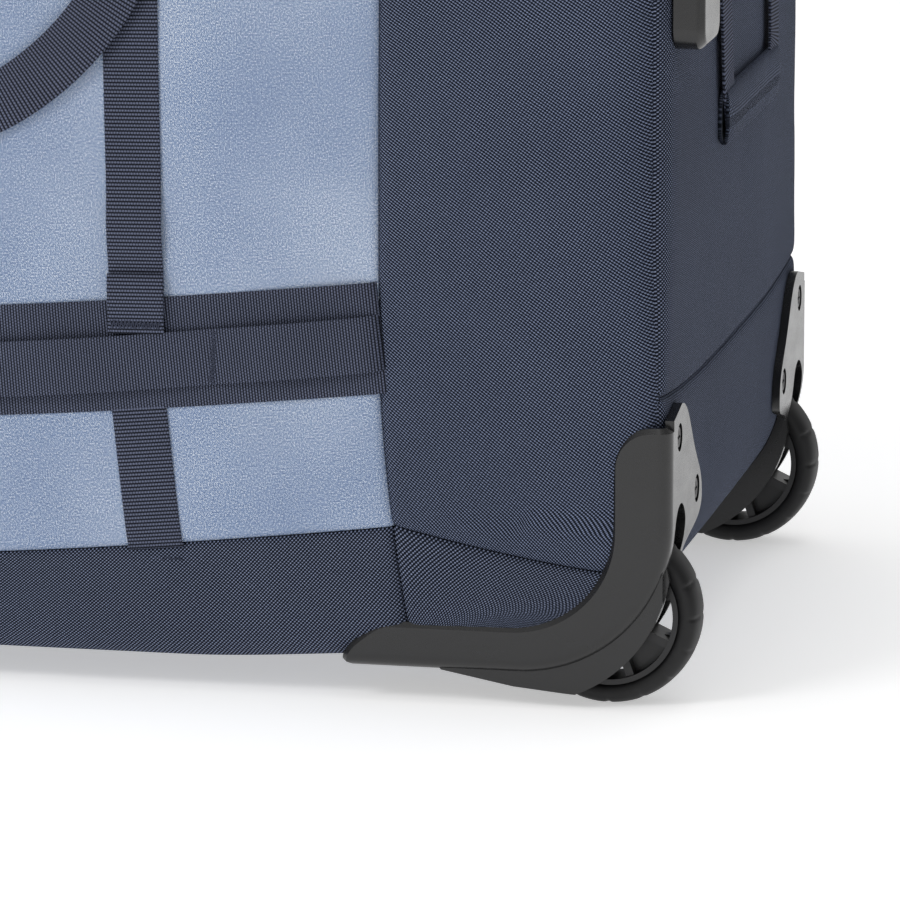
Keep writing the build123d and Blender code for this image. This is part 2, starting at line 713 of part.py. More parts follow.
def haul_loop():
    """Swinging part of a carry strap: two leaning legs, cut level at their eyes, and a cross piece."""
    eye_half = STRAP_WIDTH / 2
    low = HAUL_HINGE_Z - HAUL_DROP
    loop = Part()
    for sign in (-1, 1):
        x = sign * HAUL_X
        eye = rod_x(HAUL_HINGE_Y, HAUL_HINGE_Z, EYE_R, (x - eye_half, x + eye_half))
        start = (x, HAUL_HINGE_Y, HAUL_HINGE_Z)
        end = (sign * HAUL_WRAP_HALF, HAUL_HINGE_Y, low)
        leg = leaning_leg(start, end, (0, 1, 0), STRAP_WIDTH)
        over = (HAUL_HINGE_Z, HAUL_HINGE_Z + STRAP_WIDTH)
        leg -= block((x - STRAP_WIDTH, x + STRAP_WIDTH), (SHELL_Y, SHELL_Y + 20), over)
        loop += eye + leg
    y_span = (HAUL_HINGE_Y - WEB / 2, HAUL_HINGE_Y + WEB / 2)
    half = HAUL_WRAP_HALF + 6
    return loop + block((-half, half), y_span, (low - STRAP_WIDTH / 2, low + STRAP_WIDTH / 2))


def haul_wrap():
    low = HAUL_HINGE_Z - HAUL_DROP
    y_span = (HAUL_HINGE_Y - WRAP_THICK / 2, HAUL_HINGE_Y + WRAP_THICK / 2)
    tall = (low - WRAP_TALL / 2 - 1, low + WRAP_TALL / 2 + 1)
    wrap = block((-HAUL_WRAP_HALF + 8, HAUL_WRAP_HALF - 8), y_span, tall)
    wrap = fillet(wrap.edges().filter_by(Axis.X), 3.5)
    return wrap - haul_loop()


def end_handle():
    """Grab handle of the wheel end: two webbing legs and a padded bar."""
    low = END_HINGE_Z - END_DROP
    handle = Part()
    for sign in (-1, 1):
        y = sign * END_LEG_Y
        handle += rod_y(END_HINGE_X, END_HINGE_Z, EYE_R, (y - 12, y + 12))
        x_span = (END_HINGE_X - WEB / 2, END_HINGE_X + WEB / 2)
        handle += block(x_span, (y - 12, y + 12), (low, END_HINGE_Z))
    x_span = (END_HINGE_X - WRAP_THICK / 2, END_HINGE_X + WRAP_THICK / 2)
    half = END_LEG_Y + 12
    bar = block(x_span, (-half, half), (low - WRAP_TALL / 2, low + WRAP_TALL / 2))
    return handle + fillet(bar.edges().filter_by(Axis.Y), 3.5)


def handle_tabs():
    """Sewn patches that the two end handles fold out of."""
    tabs = []
    z_span = (END_HINGE_Z - 16, END_HINGE_Z + 22)
    for x_span in ((SHELL_X, SHELL_X + 2.6), (-SHELL_X - 2.6, -SHELL_X)):
        for y in (-END_LEG_Y, END_LEG_Y):
            tabs.append(block(x_span, (y - 14, y + 14), z_span))
    return group(tabs)


def webbing():
    save_pair("side_band", side_band())
    save_pair("daisy_strap", daisy_strap())
    legs = group([haul_leg(-HAUL_X), haul_leg(HAUL_X)])
    save("haul_webbing", both(legs))
    save("lower_straps", both(group([lower_strap(-HAUL_X), lower_strap(HAUL_X)])))
    save_pair("haul_loop", haul_loop())
    save_pair("haul_wrap", haul_wrap())
    save("wheel_end_handle", end_handle())
    save("front_end_handle", mirror(end_handle(), about=Plane.YZ))
    save("handle_tabs", handle_tabs())


# Zipper sliders


def slider():
    y = LID_HALF_WIDTH + LID_GAP + CHAIN_WIDTH / 2
    half = SLIDER_WIDTH / 2
    x_span = (SLIDER_X - SLIDER_LENGTH / 2, SLIDER_X + SLIDER_LENGTH / 2)
    body = block(x_span, (y - half, y + half), (SLIDER_LOW, SLIDER_HIGH))
    body = fillet(body.edges().filter_by(Axis.Z), 2.5)
    lug = block((SLIDER_X - 2.2, SLIDER_X + 2.2), (y - 1.4, y + 1.4), (SLIDER_HIGH, PIN_Z + 1.3))
    pin = rod_y(SLIDER_X, PIN_Z, PIN_R, (y - 3.4, y + 3.4))
    return body + lug + pin


def pull():
    y = LID_HALF_WIDTH + LID_GAP + CHAIN_WIDTH / 2
    z_span = (PIN_Z - 0.9, PIN_Z + 0.9)
    tab = block((SLIDER_X + 3.4, SLIDER_X + PULL_LENGTH), (y - 3.6, y + 3.6), z_span)
    tab = fillet(tab.edges().filter_by(Axis.Z).group_by(Axis.X)[-1], 2.5)
    for y_span in ((y - 3.6, y - 1.8), (y + 1.8, y + 3.6)):
        arm = block((SLIDER_X, SLIDER_X + 4), y_span, z_span) + rod_y(SLIDER_X, PIN_Z, 1.7, y_span)
        tab += arm - rod_y(SLIDER_X, PIN_Z, PIN_R + RUNNING_GAP, y_span)
    return tab


def zipper():
    save_pair("slider", slider())
    save_pair("pull", pull())


os.makedirs("parts", exist_ok=True)
fabric_shell()
wheels()
base_and_handle()
webbing()
zipper()
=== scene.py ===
import math

import bmesh
import bpy
import numpy as np
from mathutils import Matrix, Vector, noise


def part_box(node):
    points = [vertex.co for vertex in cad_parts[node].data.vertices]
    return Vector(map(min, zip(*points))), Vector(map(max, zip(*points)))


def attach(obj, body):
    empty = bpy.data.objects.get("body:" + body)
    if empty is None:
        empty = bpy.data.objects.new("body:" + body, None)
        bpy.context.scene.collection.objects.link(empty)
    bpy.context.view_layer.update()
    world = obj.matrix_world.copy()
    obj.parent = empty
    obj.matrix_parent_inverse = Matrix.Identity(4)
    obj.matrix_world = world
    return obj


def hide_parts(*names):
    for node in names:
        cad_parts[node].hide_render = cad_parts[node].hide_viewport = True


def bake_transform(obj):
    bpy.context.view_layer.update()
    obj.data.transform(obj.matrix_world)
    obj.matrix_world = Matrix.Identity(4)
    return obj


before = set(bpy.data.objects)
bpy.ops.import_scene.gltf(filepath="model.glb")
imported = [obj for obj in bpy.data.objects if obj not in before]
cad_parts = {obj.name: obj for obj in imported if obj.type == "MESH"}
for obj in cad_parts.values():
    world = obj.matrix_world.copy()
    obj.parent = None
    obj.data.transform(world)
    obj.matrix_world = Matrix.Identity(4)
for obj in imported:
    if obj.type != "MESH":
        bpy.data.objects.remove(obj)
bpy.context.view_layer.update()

# A rolling duffel bag on two wheels. Lengths are in metres, in the frame's axes:
# +X to the wheel end, +Y to the left, +Z up. Fixed places come from the frame's boxes.

MM = 0.001
UP, RIGHT = (0, 0, 1), (0, -1, 0)
SIDE_Y = -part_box("side_panel_r")[0][1]
END_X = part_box("wheel_end_panel")[1][0]
TOP_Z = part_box("top_border")[1][2]
BOTTOM_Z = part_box("base_fabric")[0][2]
LID_LOW, LID_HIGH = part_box("lid_panel")

CLOTH = 2.2 * MM  # thickness of the shell's cloth with its lining
HEM = 2.5 * MM  # how far the panels stop short of the walls' edges
BASE_SAG = 5.7 * MM
CORNER_X = 327 * MM  # centre of the rounded lower corner at the wheel end
CORNER_Z = 83 * MM
CORNER_R = 64 * MM
GUARD_R = 50 * MM
WELL_Y = 143.5 * MM
WELL_X = 314.5 * MM
WELL_TOP = 93.5 * MM
KICK_Z = 132 * MM
WEBBING = 1.4 * MM  # thickness of the webbing
STRAP = 24.6 * MM  # widths of the narrow and of the wide webbing
BAND = 49 * MM
STRAP_X = 158 * MM
TACKS = [64 * MM, 194 * MM]
EYE_DROP = 2.4 * MM  # from the top of a swinging strap down to its hinge line
EYE_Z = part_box("haul_loop_r")[1][2] - EYE_DROP
EYE_Y = 192.2 * MM
PAD_Z = EYE_Z - 88 * MM
PAD_HALF = 54 * MM
END_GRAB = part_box("wheel_end_handle")
CHAIN_GAP = 4.8 * MM  # from the lid's edge to the middle of the zipper
ZIP_CORNER = 60 * MM
TOOTH_PITCH = 3 * MM


# Shader arithmetic


class Field:
    """A shader value that builds Math nodes as it is combined with others."""

    def __init__(self, tree, socket):
        self.tree = tree
        self.socket = socket

    def math(self, operation, *others):
        node = self.tree.nodes.new("ShaderNodeMath")
        node.operation = operation
        for slot, value in zip(node.inputs, (self, *others)):
            if isinstance(value, Field):
                self.tree.links.new(value.socket, slot)
            else:
                slot.default_value = value
        return Field(self.tree, node.outputs[0])

    def __add__(self, other):
        return self.math("ADD", other)

    def __sub__(self, other):
        return self.math("SUBTRACT", other)

    def __mul__(self, other):
        return self.math("MULTIPLY", other)

    def __truediv__(self, other):
        return self.math("DIVIDE", other)

    def floor(self):
        return self.math("FLOOR")

    def fract(self):
        return self.math("FRACT")

    def arch(self):
        """Each unit of the value rises from 0 to 1 and falls back."""
        return (self.fract() * math.pi).math("SINE")

    def power(self, exponent):
        return self.math("POWER", exponent)

    def odd(self):
        return (self.floor() * 0.5).fract() * 2.0

    def clamp(self):
        held = self.math("ADD", 0.0)
        held.socket.node.use_clamp = True
        return held


def linear(text):
    """A display colour, such as 3a4256, as linear light."""
    values = [int(text[place : place + 2], 16) / 255 for place in (0, 2, 4)]
    return tuple(v / 12.92 if v <= 0.04045 else ((v + 0.055) / 1.055) ** 2.4 for v in values)


class Look:
    """A material under construction: one Principled shader and what feeds it."""

    def __init__(self, name, roughness=0.6, specular=0.5):
        self.material = bpy.data.materials.new(name)
        self.material.use_nodes = True
        self.tree = self.material.node_tree
        self.shader = self.tree.nodes["Principled BSDF"]
        self.setting("Roughness", roughness)
        self.setting("Specular IOR Level", specular)

    def setting(self, name, value):
        self.shader.inputs[name].default_value = value

    def node(self, kind):
        return self.tree.nodes.new("ShaderNode" + kind)

    def link(self, output, slot):
        self.tree.links.new(output, slot)

    def mapped(self, uv, setting, value):
        """Places on the cloth by its UVs, or in space, turned or stretched."""
        mapping = self.node("Mapping")
        mapping.inputs[setting].default_value = value
        if uv:
            source = self.node("UVMap")
            source.uv_map = "UVMap"
            self.link(source.outputs[0], mapping.inputs["Vector"])
        else:
            self.link(self.node("TexCoord").outputs["Object"], mapping.inputs["Vector"])
        return mapping.outputs[0]

    def uv(self, turn=0.0):
        place = self.mapped(True, "Rotation", (0, 0, turn))
        split = self.node("SeparateXYZ")
        self.link(place, split.inputs[0])
        return Field(self.tree, split.outputs[0]), Field(self.tree, split.outputs[1])

    def noise(self, scale, detail=3.0, stretch=(1, 1, 1), uv=False):
        place = self.mapped(uv, "Scale", stretch)
        node = self.node("TexNoise")
        node.inputs["Scale"].default_value = scale
        node.inputs["Detail"].default_value = detail
        self.link(place, node.inputs["Vector"])
        return Field(self.tree, node.outputs["Fac"])

    def ramp(self, field, stops):
        node = self.node("ValToRGB")
        elements = node.color_ramp.elements
        while len(elements) < len(stops):
            elements.new(0.5)
        for element, (place, colour) in zip(elements, stops):
            element.position = place
            element.color = (*colour, 1)
        self.link(field.socket, node.inputs["Fac"])
        return node.outputs["Color"]

    def mix(self, field, low, high):
        node = self.node("Mix")
        node.data_type = "RGBA"
        self.link(field.socket, node.inputs[0])
        for slot, value in ((node.inputs[6], low), (node.inputs[7], high)):
            if isinstance(value, tuple):
                slot.default_value = (*value, 1)
            else:
                self.link(value, slot)
        return node.outputs[2]

    def shade(self, colour, field):
        """A colour made lighter or darker by a value around 1."""
        node = self.node("VectorMath")
        node.operation = "SCALE"
        self.link(colour, node.inputs[0])
        self.link(field.socket, node.inputs["Scale"])
        return node.outputs[0]

    def colour(self, socket):
        self.link(socket, self.shader.inputs["Base Color"])

    def roughness(self, field):
        self.link(field.socket, self.shader.inputs["Roughness"])

    def bump(self, field, height, strength):
        """Relief from a value; returns the finished material."""
        node = self.node("Bump")
        node.inputs["Strength"].default_value = strength
        node.inputs["Distance"].default_value = height
        self.link(field.socket, node.inputs["Height"])
        self.link(node.outputs[0], self.shader.inputs["Normal"])
        return self.material

    def sheen(self, amount, tint, roughness=0.4):
        self.setting("Sheen Weight", amount)
        self.setting("Sheen Roughness", roughness)
        self.setting("Sheen Tint", (*tint, 1))


# Materials


def weave(look, cell, turn=0.0):
    """Plain weave: how high the weft floats stand, and the warp between them."""
    u, v = look.uv(turn)
    drift = (look.noise(55, 2, uv=True) - 0.5) * 0.6
    u = u / cell + drift
    v = v / cell + drift
    over = u.floor().math("ADD", v.floor()).odd()
    across = u.arch()
    along = v.arch()
    weft = across.power(0.4) * along.power(0.8) * over
    warp = along.power(0.6) * across * (over * -1.0 + 1.0)
    rows = (u + v) * 0.5 + 0.5 if turn else (u - v) * 0.5
    weft = weft * 0.9 + rows.arch().power(5) * (0.5 if turn else 0.25)
    return weft, warp


def ballistic(name, turn, shaded_gap_colour, lit_float_colour):
    look = Look(name, roughness=0.95, specular=0.12)
    weft, warp = weave(look, 0.88 * MM, turn)
    tone = (look.noise(11, 3) - 0.5) * 0.3 + (look.noise(1100, 1, uv=True) - 0.5) * 0.8 + 1.0
    # Painted highlight and shade: the raised floats of the one navy yarn are painted light and the gaps
    # between them near black, over the real weave relief.
    threads = look.mix(weft.power(1.5).clamp(), linear(shaded_gap_colour), linear(lit_float_colour))
    threads = look.mix((warp * 0.2).clamp(), threads, linear("343c52"))
    look.colour(look.shade(threads, tone))
    return look.bump(weft + warp * 0.75, 0.35 * MM, 0.7)


def heather(name):
    look = Look(name, roughness=0.75, specular=0.25)
    u, v = look.uv()
    twill = ((u + v * 0.85) / (1.0 * MM)).arch()
    slub = look.noise(1800, 1, stretch=(1.0, 0.75, 1), uv=True)
    speck = look.noise(2900, 1, uv=True)
    blotch = look.noise(14, 4)
    mixed = slub * 1.1 + speck * 0.7 - 0.4 + (twill - 0.6) * 0.16 + (blotch - 0.5) * 0.2
    stops = [(0.22, "566b90"), (0.42, "7d90b2"), (0.56, "9aabc6"), (0.78, "e6ecf4")]
    look.colour(look.ramp(mixed, [(place, linear(text)) for place, text in stops]))
    look.bump(slub * 0.6 + twill * 0.3, 0.18 * MM, 0.45)
    look.sheen(0.05, (0.8, 0.87, 1.0))
    return look.material


def ribbed(name, low, high, pitch=1.62 * MM):
    """Ribbed webbing: U runs along its length and V across it."""
    look = Look(name, roughness=0.9, specular=0.15)
    u, v = look.uv()
    row = u / pitch
    stitch = (v / (1.3 * MM) + row.odd() * 0.5).arch()
    height = row.arch() * (stitch * 0.5 + 0.5)
    tone = (look.noise(1300, 2, uv=True) - 0.5) * 0.6 + (look.noise(22, 3) - 0.5) * 0.35 + 1.0
    # Painted highlight and shade: the rib tops of the one-coloured webbing are painted light and the
    # valleys between them dark, over the real rib relief.
    look.colour(look.shade(look.mix(height.power(1.8).clamp(), linear(low), linear(high)), tone))
    return look.bump(height, 0.45 * MM, 0.8)


def moulded(name, colour, grain=2600, depth=0.03 * MM, base=0.42, specular=0.5):
    """Moulded plastic with a fine eroded grain and faint handling marks."""
    look = Look(name, specular=specular)
    fine = look.noise(grain, 2)
    marks = look.noise(38, 5, stretch=(1, 1, 3))
    tint = linear(colour)
    look.colour(look.mix(marks, tuple(c * 0.86 for c in tint), tuple(c * 1.16 for c in tint)))
    look.roughness((marks - 0.5) * 0.14 + (fine - 0.5) * 0.1 + base)
    return look.bump(fine, depth, 0.6)


def rubber(name):
    look = Look(name, specular=0.4)
    fine = look.noise(1700, 3)
    dust = look.noise(70, 6)
    look.colour(look.mix((dust * 1.5 - 0.4).clamp(), linear("0a0a0b"), linear("232325")))
    look.roughness((dust - 0.5) * 0.3 + 0.55)
    return look.bump(fine * 0.5 + dust, 0.15 * MM, 0.5)


def metal(name, colour, rough, stretch):
    look = Look(name)
    look.setting("Metallic", 1.0)
    lines = look.noise(60, 4, stretch=stretch)
    tint = linear(colour)
    look.colour(look.mix(lines, tuple(c * 0.8 for c in tint), tint))
    look.roughness((lines - 0.5) * 0.2 + rough)
    return look.bump(lines, 0.01 * MM, 0.4)


def lining(name):
    look = Look(name, roughness=0.7, specular=0.3)
    weft, warp = weave(look, 0.6 * MM)
    # Painted highlight and shade: the raised threads of the grey lining are painted lighter and the
    # gaps between them darker, over the real weave relief.
    look.colour(look.mix((weft + warp * 0.6).clamp(), linear("40454d"), linear("7b828d")))
    return look.bump(weft + warp, 0.1 * MM, 0.5)


def sewing_thread(name, low, high):
    look = Look(name, roughness=0.55, specular=0.4)
    twist = look.noise(2600, 2)
    look.colour(look.mix(twist, linear(low), linear(high)))
    return look.bump(twist, 0.05 * MM, 0.5)


LOOKS = {
    # Both navy looks are one cloth with painted highlight on the floats and painted shade in the gaps;
    # the turned copy's floats are painted a little darker as painted shade for its turned weave.
    "navy": ballistic("ballistic_navy", 0.0, "04070d", "8892ad"),
    "navy_bias": ballistic("ballistic_navy_bias", -0.22, "04070d", "7f8aa6"),
    "blue": heather("heather_blue"),
    # Webbing and tape colours: a painted-shade valley colour and a painted-highlight rib colour.
    "web": ribbed("ribbed_webbing", "040509", "70778f"),
    "band": ribbed("band_webbing", "040509", "70778f", 1.28 * MM),
    "tape": ribbed("zipper_tape", "23283a", "3d445c", 0.8 * MM),
    "guard": moulded("guard_plastic", "141415", base=0.25, specular=0.6),
    "hub": moulded("hub_plastic", "1a1a1c", base=0.33),
    "grip": moulded("grip_plastic", "262628", 1500, 0.06 * MM, 0.55),
    "button": moulded("button_plastic", "70737a", base=0.35),
    "board": moulded("board_plastic", "303033", base=0.5),
    "pull": moulded("pull_rubber", "3c455e", base=0.5),
    "coil": moulded("zipper_coil", "262b3d", base=0.38),
    "rubber": rubber("tyre_rubber"),
    "steel": metal("zinc_steel", "c9cbd0", 0.3, (1, 30, 1)),
    "black_steel": metal("black_steel", "3a3a3c", 0.4, (1, 1, 30)),
    "tube": metal("anodised_tube", "b9bcc2", 0.3, (1, 30, 30)),
    "slider": metal("slider_metal", "4a4c52", 0.35, (30, 1, 1)),
    "lining": lining("lining"),
    "thread": sewing_thread("thread", "1d2231", "3e455c"),
}


# Mesh helpers


def smooth(t):
    t = min(1.0, max(0.0, t))
    return t * t * (3 - 2 * t)


def mix(low, high, t):
    return low + (high - low) * t


def stations(length, cell):
    """Places from 0 to 1 along a length, closer together near both ends."""
    hem = [0, 0.9 * MM, 2.2 * MM, 4.5 * MM]
    inner = [*hem, *np.linspace(9 * MM, length - 9 * MM, max(2, round(length / cell)))]
    return [place / length for place in [*inner, *[length - m for m in reversed(hem)]]]


def new_object(name, data):
    item = bpy.data.objects.new(name, data)
    bpy.context.scene.collection.objects.link(item)
    return item


def mesh_object(name, points, faces, look, uvs=None):
    mesh = bpy.data.meshes.new(name)
    mesh.from_pydata([tuple(p) for p in points], [], faces)
    mesh.materials.append(LOOKS[look])
    mesh.polygons.foreach_set("use_smooth", [True] * len(mesh.polygons))
    if uvs is not None:
        layer = mesh.uv_layers.new(name="UVMap")
        for loop in mesh.loops:
            layer.data[loop.index].uv = uvs[loop.vertex_index]
    mesh.update()
    return new_object(name, mesh)


def grid_faces(columns, rows, start=0, closed=False):
    faces = []
    for i in range(columns - 1):
        for j in range(rows if closed else rows - 1):
            a = start + i * rows + j
            b = start + i * rows + (j + 1) % rows
            faces.append((a, a + rows, b + rows, b))
    return faces


def evaluated(item):
    return item.evaluated_get(bpy.context.evaluated_depsgraph_get())


def subdivide(item):
    smoothing = item.modifiers.new("Subdivision", "SUBSURF")
    smoothing.levels = smoothing.render_levels = 1
    return smoothing


def bake_modifiers(item):
    mesh = bpy.data.meshes.new_from_object(evaluated(item))
    item.modifiers.clear()
    item.data = mesh
    mesh.name = item.name
    return item


def finish_cloth(item, thickness=CLOTH, inner="lining"):
    """Subdivides a single sheet and gives it its thickness and its inner face."""
    bpy.context.view_layer.update()
    if inner:
        item.data.materials.append(LOOKS[inner])
    subdivide(item).boundary_smooth = "PRESERVE_CORNERS"
    solid = item.modifiers.new("Solidify", "SOLIDIFY")
    solid.thickness = thickness
    solid.offset = -1
    solid.material_offset = 1 if inner else 0
    return bake_modifiers(item)


def face_outwards(item, centre=Vector((0, 0, 0.18))):
    """Turns a sheet so that its front faces away from the middle of the bag."""
    total = sum(f.normal.dot(f.center - centre) * f.area for f in item.data.polygons)
    if total < 0:
        item.data.flip_normals()
    return item


def reshape(item, change):
    """Applies a change to an object's mesh."""
    shape = bmesh.new()
    shape.from_mesh(item.data)
    change(shape)
    shape.to_mesh(item.data)
    shape.free()


def drop_faces(item, unwanted):
    def cut(shape):
        doomed = [face for face in shape.faces if unwanted(face.calc_center_median())]
        bmesh.ops.delete(shape, geom=doomed, context="FACES")

    reshape(item, cut)
    return item


def merged(name, items):
    first = items[0]
    with bpy.context.temp_override(
        active_object=first, object=first, selected_objects=items, selected_editable_objects=items
    ):
        bpy.ops.object.join()
    first.name = first.data.name = name
    return first


def place(item, body, slot, *nodes):
    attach(item, body)
    if nodes:
        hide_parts(*nodes)
    return item


def place_pair(item, body, slot, *nodes):
    """Puts a right-hand piece in place, and its mirror image on the left."""
    mesh = item.data.copy()
    mesh.transform(Matrix.Scale(-1, 4, (0, 1, 0)))
    mesh.flip_normals()
    other = new_object(item.name[:-1] + "l", mesh)
    mesh.name = other.name
    side = body.endswith("_r")
    place(item, body, slot, *nodes)
    place(other, body[:-1] + "l" if side else body, slot, *[n[:-1] + "l" for n in nodes])
    return item, other


def from_node(node, look, bevel=0.5 * MM):
    """A copy of a CAD node with its flat faces joined up and its hard edges softened."""
    item = new_object(node + "_part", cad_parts[node].data.copy())

    def join_up(shape):
        bmesh.ops.remove_doubles(shape, verts=shape.verts, dist=0.005 * MM)
        flat = math.radians(1)
        bmesh.ops.dissolve_limit(shape, angle_limit=flat, verts=shape.verts, edges=shape.edges)
        for face in shape.faces:
            face.smooth = True
            face.material_index = 0

    reshape(item, join_up)
    recolour(item, look)
    softened = item.modifiers.new("Bevel", "BEVEL")
    softened.width = bevel
    softened.segments = 2
    softened.limit_method = "ANGLE"
    softened.angle_limit = math.radians(32)
    item.modifiers.new("Normals", "WEIGHTED_NORMAL").keep_sharp = True
    return bake_modifiers(item)


def recolour(item, look):
    item.data.materials.clear()
    item.data.materials.append(LOOKS[look])


# The bag's outside as surfaces, before they are cut into panels


def round_in(distance, radius):
    """How far a rounded edge has turned in at a distance from its corner."""
    if distance >= radius:
        return 0.0
    gap = radius - max(0.0, distance)
    return radius - math.sqrt(max(0.0, radius * radius - gap * gap))


def swell(value, low, high, reach):
    """0 at both ends of a span and 1 well inside it, as taut cloth rises from its seams."""
    near = min(value - low, high - value)
    return math.sin(min(1.0, max(0.0, near / reach)) * math.pi / 2) ** 0.8


def bottom(x):
    return BOTTOM_Z - BASE_SAG * (1 - smooth((abs(x) - 175 * MM) / (115 * MM)))


def corner_radius(z):
    return 10 * MM + 11 * MM * smooth((z - 120 * MM) / (110 * MM))


def corner_seam(z):
    """Distance that the upright corner seams lie inside the walls."""
    return 0.293 * corner_radius(z)


def side_skin(x, z):
    """Half-width of the bag at a point of its side."""
    bulge = 5.5 * MM * swell(x, -END_X, END_X, 150 * MM) * swell(z, BOTTOM_Z - 12 * MM, TOP_Z, 120 * MM)
    turned = round_in(z - bottom(x), 12 * MM) + round_in(TOP_Z - z, 8 * MM)
    return SIDE_Y + bulge - turned - round_in(END_X - abs(x), corner_radius(z))


def end_skin(y, z):
    """Distance of an end wall from the middle of the bag."""
    bulge = 2.5 * MM * swell(y, -SIDE_Y, SIDE_Y, 140 * MM) * swell(z, KICK_Z, TOP_Z, 90 * MM)
    turned = round_in(SIDE_Y - abs(y), corner_radius(z)) + round_in(TOP_Z - z, 8 * MM)
    return END_X + bulge - turned - round_in(z - BOTTOM_Z, 10 * MM)


def rounded_corner(x, y):
    """A point of the square top moved into its rounded corner, and how far it lies from the edge."""
    radius = corner_radius(TOP_Z)
    past_x, past_y = abs(x) - (END_X - radius), abs(y) - (SIDE_Y - radius)
    if past_x <= 0 or past_y <= 0:
        return x, y, min(END_X - abs(x), SIDE_Y - abs(y))
    held = max(past_x, past_y)
    share = held / math.hypot(past_x, past_y)
    x = math.copysign(END_X - radius + past_x * share, x)
    y = math.copysign(SIDE_Y - radius + past_y * share, y)
    return x, y, radius - held


def lid_skin(x, y):
    long_rise = swell(x, LID_LOW[0], LID_HIGH[0], 150 * MM)
    return TOP_Z + 8 * MM * long_rise * swell(y, LID_LOW[1], LID_HIGH[1], 110 * MM)


def on_side(x, z, depth):
    return (x, depth - side_skin(x, z), z)


def on_wheel_end(y, z, depth):
    return (end_skin(y, z) - depth, y, z)


def on_front_end(y, z, depth):
    return (depth - end_skin(y, z), y, z)


def on_top(x, y, depth):
    x, y, inside = rounded_corner(x, y)
    return (x, y, TOP_Z - round_in(inside, 8 * MM) - depth)


def on_lid(x, y, depth):
    return (x, y, lid_skin(x, y) - depth)


KICK_HEIGHT = 139 * MM - CORNER_Z
ARC = CORNER_R * math.pi / 2


def on_wrap(y, s, depth):
    """The base cloth by its length: down the wheel end, round the corner and along the bottom."""
    if s < KICK_HEIGHT:
        turned = round_in(SIDE_Y - abs(y), 10 * MM)
        return (END_X - depth - turned, y, CORNER_Z + KICK_HEIGHT - s)
    if s < KICK_HEIGHT + ARC:
        angle = (s - KICK_HEIGHT) / CORNER_R
        radius = CORNER_R - depth
        return (CORNER_X + radius * math.cos(angle), y, CORNER_Z - radius * math.sin(angle))
    x = CORNER_X - (s - KICK_HEIGHT - ARC)
    return (x, y, bottom(x) + depth + round_in(SIDE_Y - abs(y), 12 * MM) + round_in(END_X + x, 10 * MM))


# Seam lines and strap lines


def sag(x, low, rate):
    """A line that hangs lowest in the middle of the bag and straightens towards its ends."""
    return low + rate * (math.hypot(x, 150 * MM) - 150 * MM)


def base_seam(x):
    return sag(x, 55.1 * MM, 0.144)


def band_line(x):
    return sag(x, 142.5 * MM, 0.128)


def daisy_line(x):
    return sag(x, 138.6 * MM, 0.14)


def end_seam(z):
    """Distance of the upright seams of the blue panel from the middle of the bag."""
    return 266.4 * MM + 11.5 * MM * max(0.0, (155 * MM - z) / (117 * MM)) ** 1.6


def corner_patch_seam(x):
    """Top of the low corner patch, falling from the base seam towards the corner guard."""
    return 61 * MM + 17.5 * MM * (max(0.0, 372 * MM - abs(x)) / (98 * MM)) ** 1.35


def kick_seam(y):
    return KICK_Z + 6 * MM * (abs(y) / (174 * MM)) ** 3


def side_end(z):
    """Where the side cloth ends towards the wheel end: the corner seam, or inside the guard."""
    edge = END_X - corner_seam(z)
    if z >= CORNER_Z:
        return edge
    drop = min(CORNER_Z - z, GUARD_R)
    return min(edge, CORNER_X + math.sqrt(GUARD_R**2 - drop**2))


# Cloth


def drape(width, height, peak, seed, held=None, cell=9 * MM):
    """Heights over a sheet sewn down all round, found by a short cloth simulation.

    The sheet is a little larger than its frame and lightly blown out, so it swells and puckers.
    held(u, v) says where something sewn over the sheet keeps it down.
    """
    columns = max(4, round(width / cell)) + 1
    rows = max(4, round(height / cell)) + 1
    us = np.linspace(0, 1, columns)
    vs = np.linspace(0, 1, rows)
    heights = simulated(width, height, us, vs, seed, held)
    heights *= peak / max(1e-6, heights.max())

    def height_at(u, v):
        x = min(max(u, 0.0), 1.0) * (columns - 1)
        y = min(max(v, 0.0), 1.0) * (rows - 1)
        i, j = min(int(x), columns - 2), min(int(y), rows - 2)
        s, t = smooth(x - i), smooth(y - j)
        low = mix(heights[i, j], heights[i, j + 1], t)
        high = mix(heights[i + 1, j], heights[i + 1, j + 1], t)
        return float(mix(low, high, s))

    return height_at


def simulated(width, height, us, vs, seed, held):
    points = []
    for u in us:
        for v in vs:
            rough = noise.noise(Vector((u * width * 25, v * height * 25, seed)))
            points.append((u * width, v * height, rough * 0.4 * MM))
    sheet = mesh_object("cloth", points, grid_faces(len(us), len(vs)), "lining")
    group = sheet.vertex_groups.new(name="pin")
    for i, u in enumerate(us):
        for j, v in enumerate(vs):
            edge = i in (0, len(us) - 1) or j in (0, len(vs) - 1)
            if edge or held and held(u, v):
                group.add([i * len(vs) + j], 1.0, "REPLACE")
    cloth = sheet.modifiers.new("Cloth", "CLOTH")
    settings = cloth.settings
    settings.quality = 5
    settings.mass = 0.2
    settings.tension_stiffness = 15
    settings.compression_stiffness = 15
    settings.shear_stiffness = 5
    settings.bending_stiffness = 2
    settings.air_damping = 3
    settings.vertex_group_mass = "pin"
    settings.use_pressure = True
    settings.uniform_pressure_force = 1.5
    settings.shrink_min = -0.012
    settings.effector_weights.gravity = 0
    cloth.collision_settings.use_collision = False
    cloth.point_cache.frame_start = 1
    cloth.point_cache.frame_end = 20
    for step in range(1, 21):
        bpy.context.scene.frame_set(step)
    heights = [v.co.z for v in evaluated(sheet).data.vertices]
    bpy.context.scene.frame_set(1)
    bpy.data.objects.remove(sheet)
    return np.array(heights).reshape(len(us), len(vs))


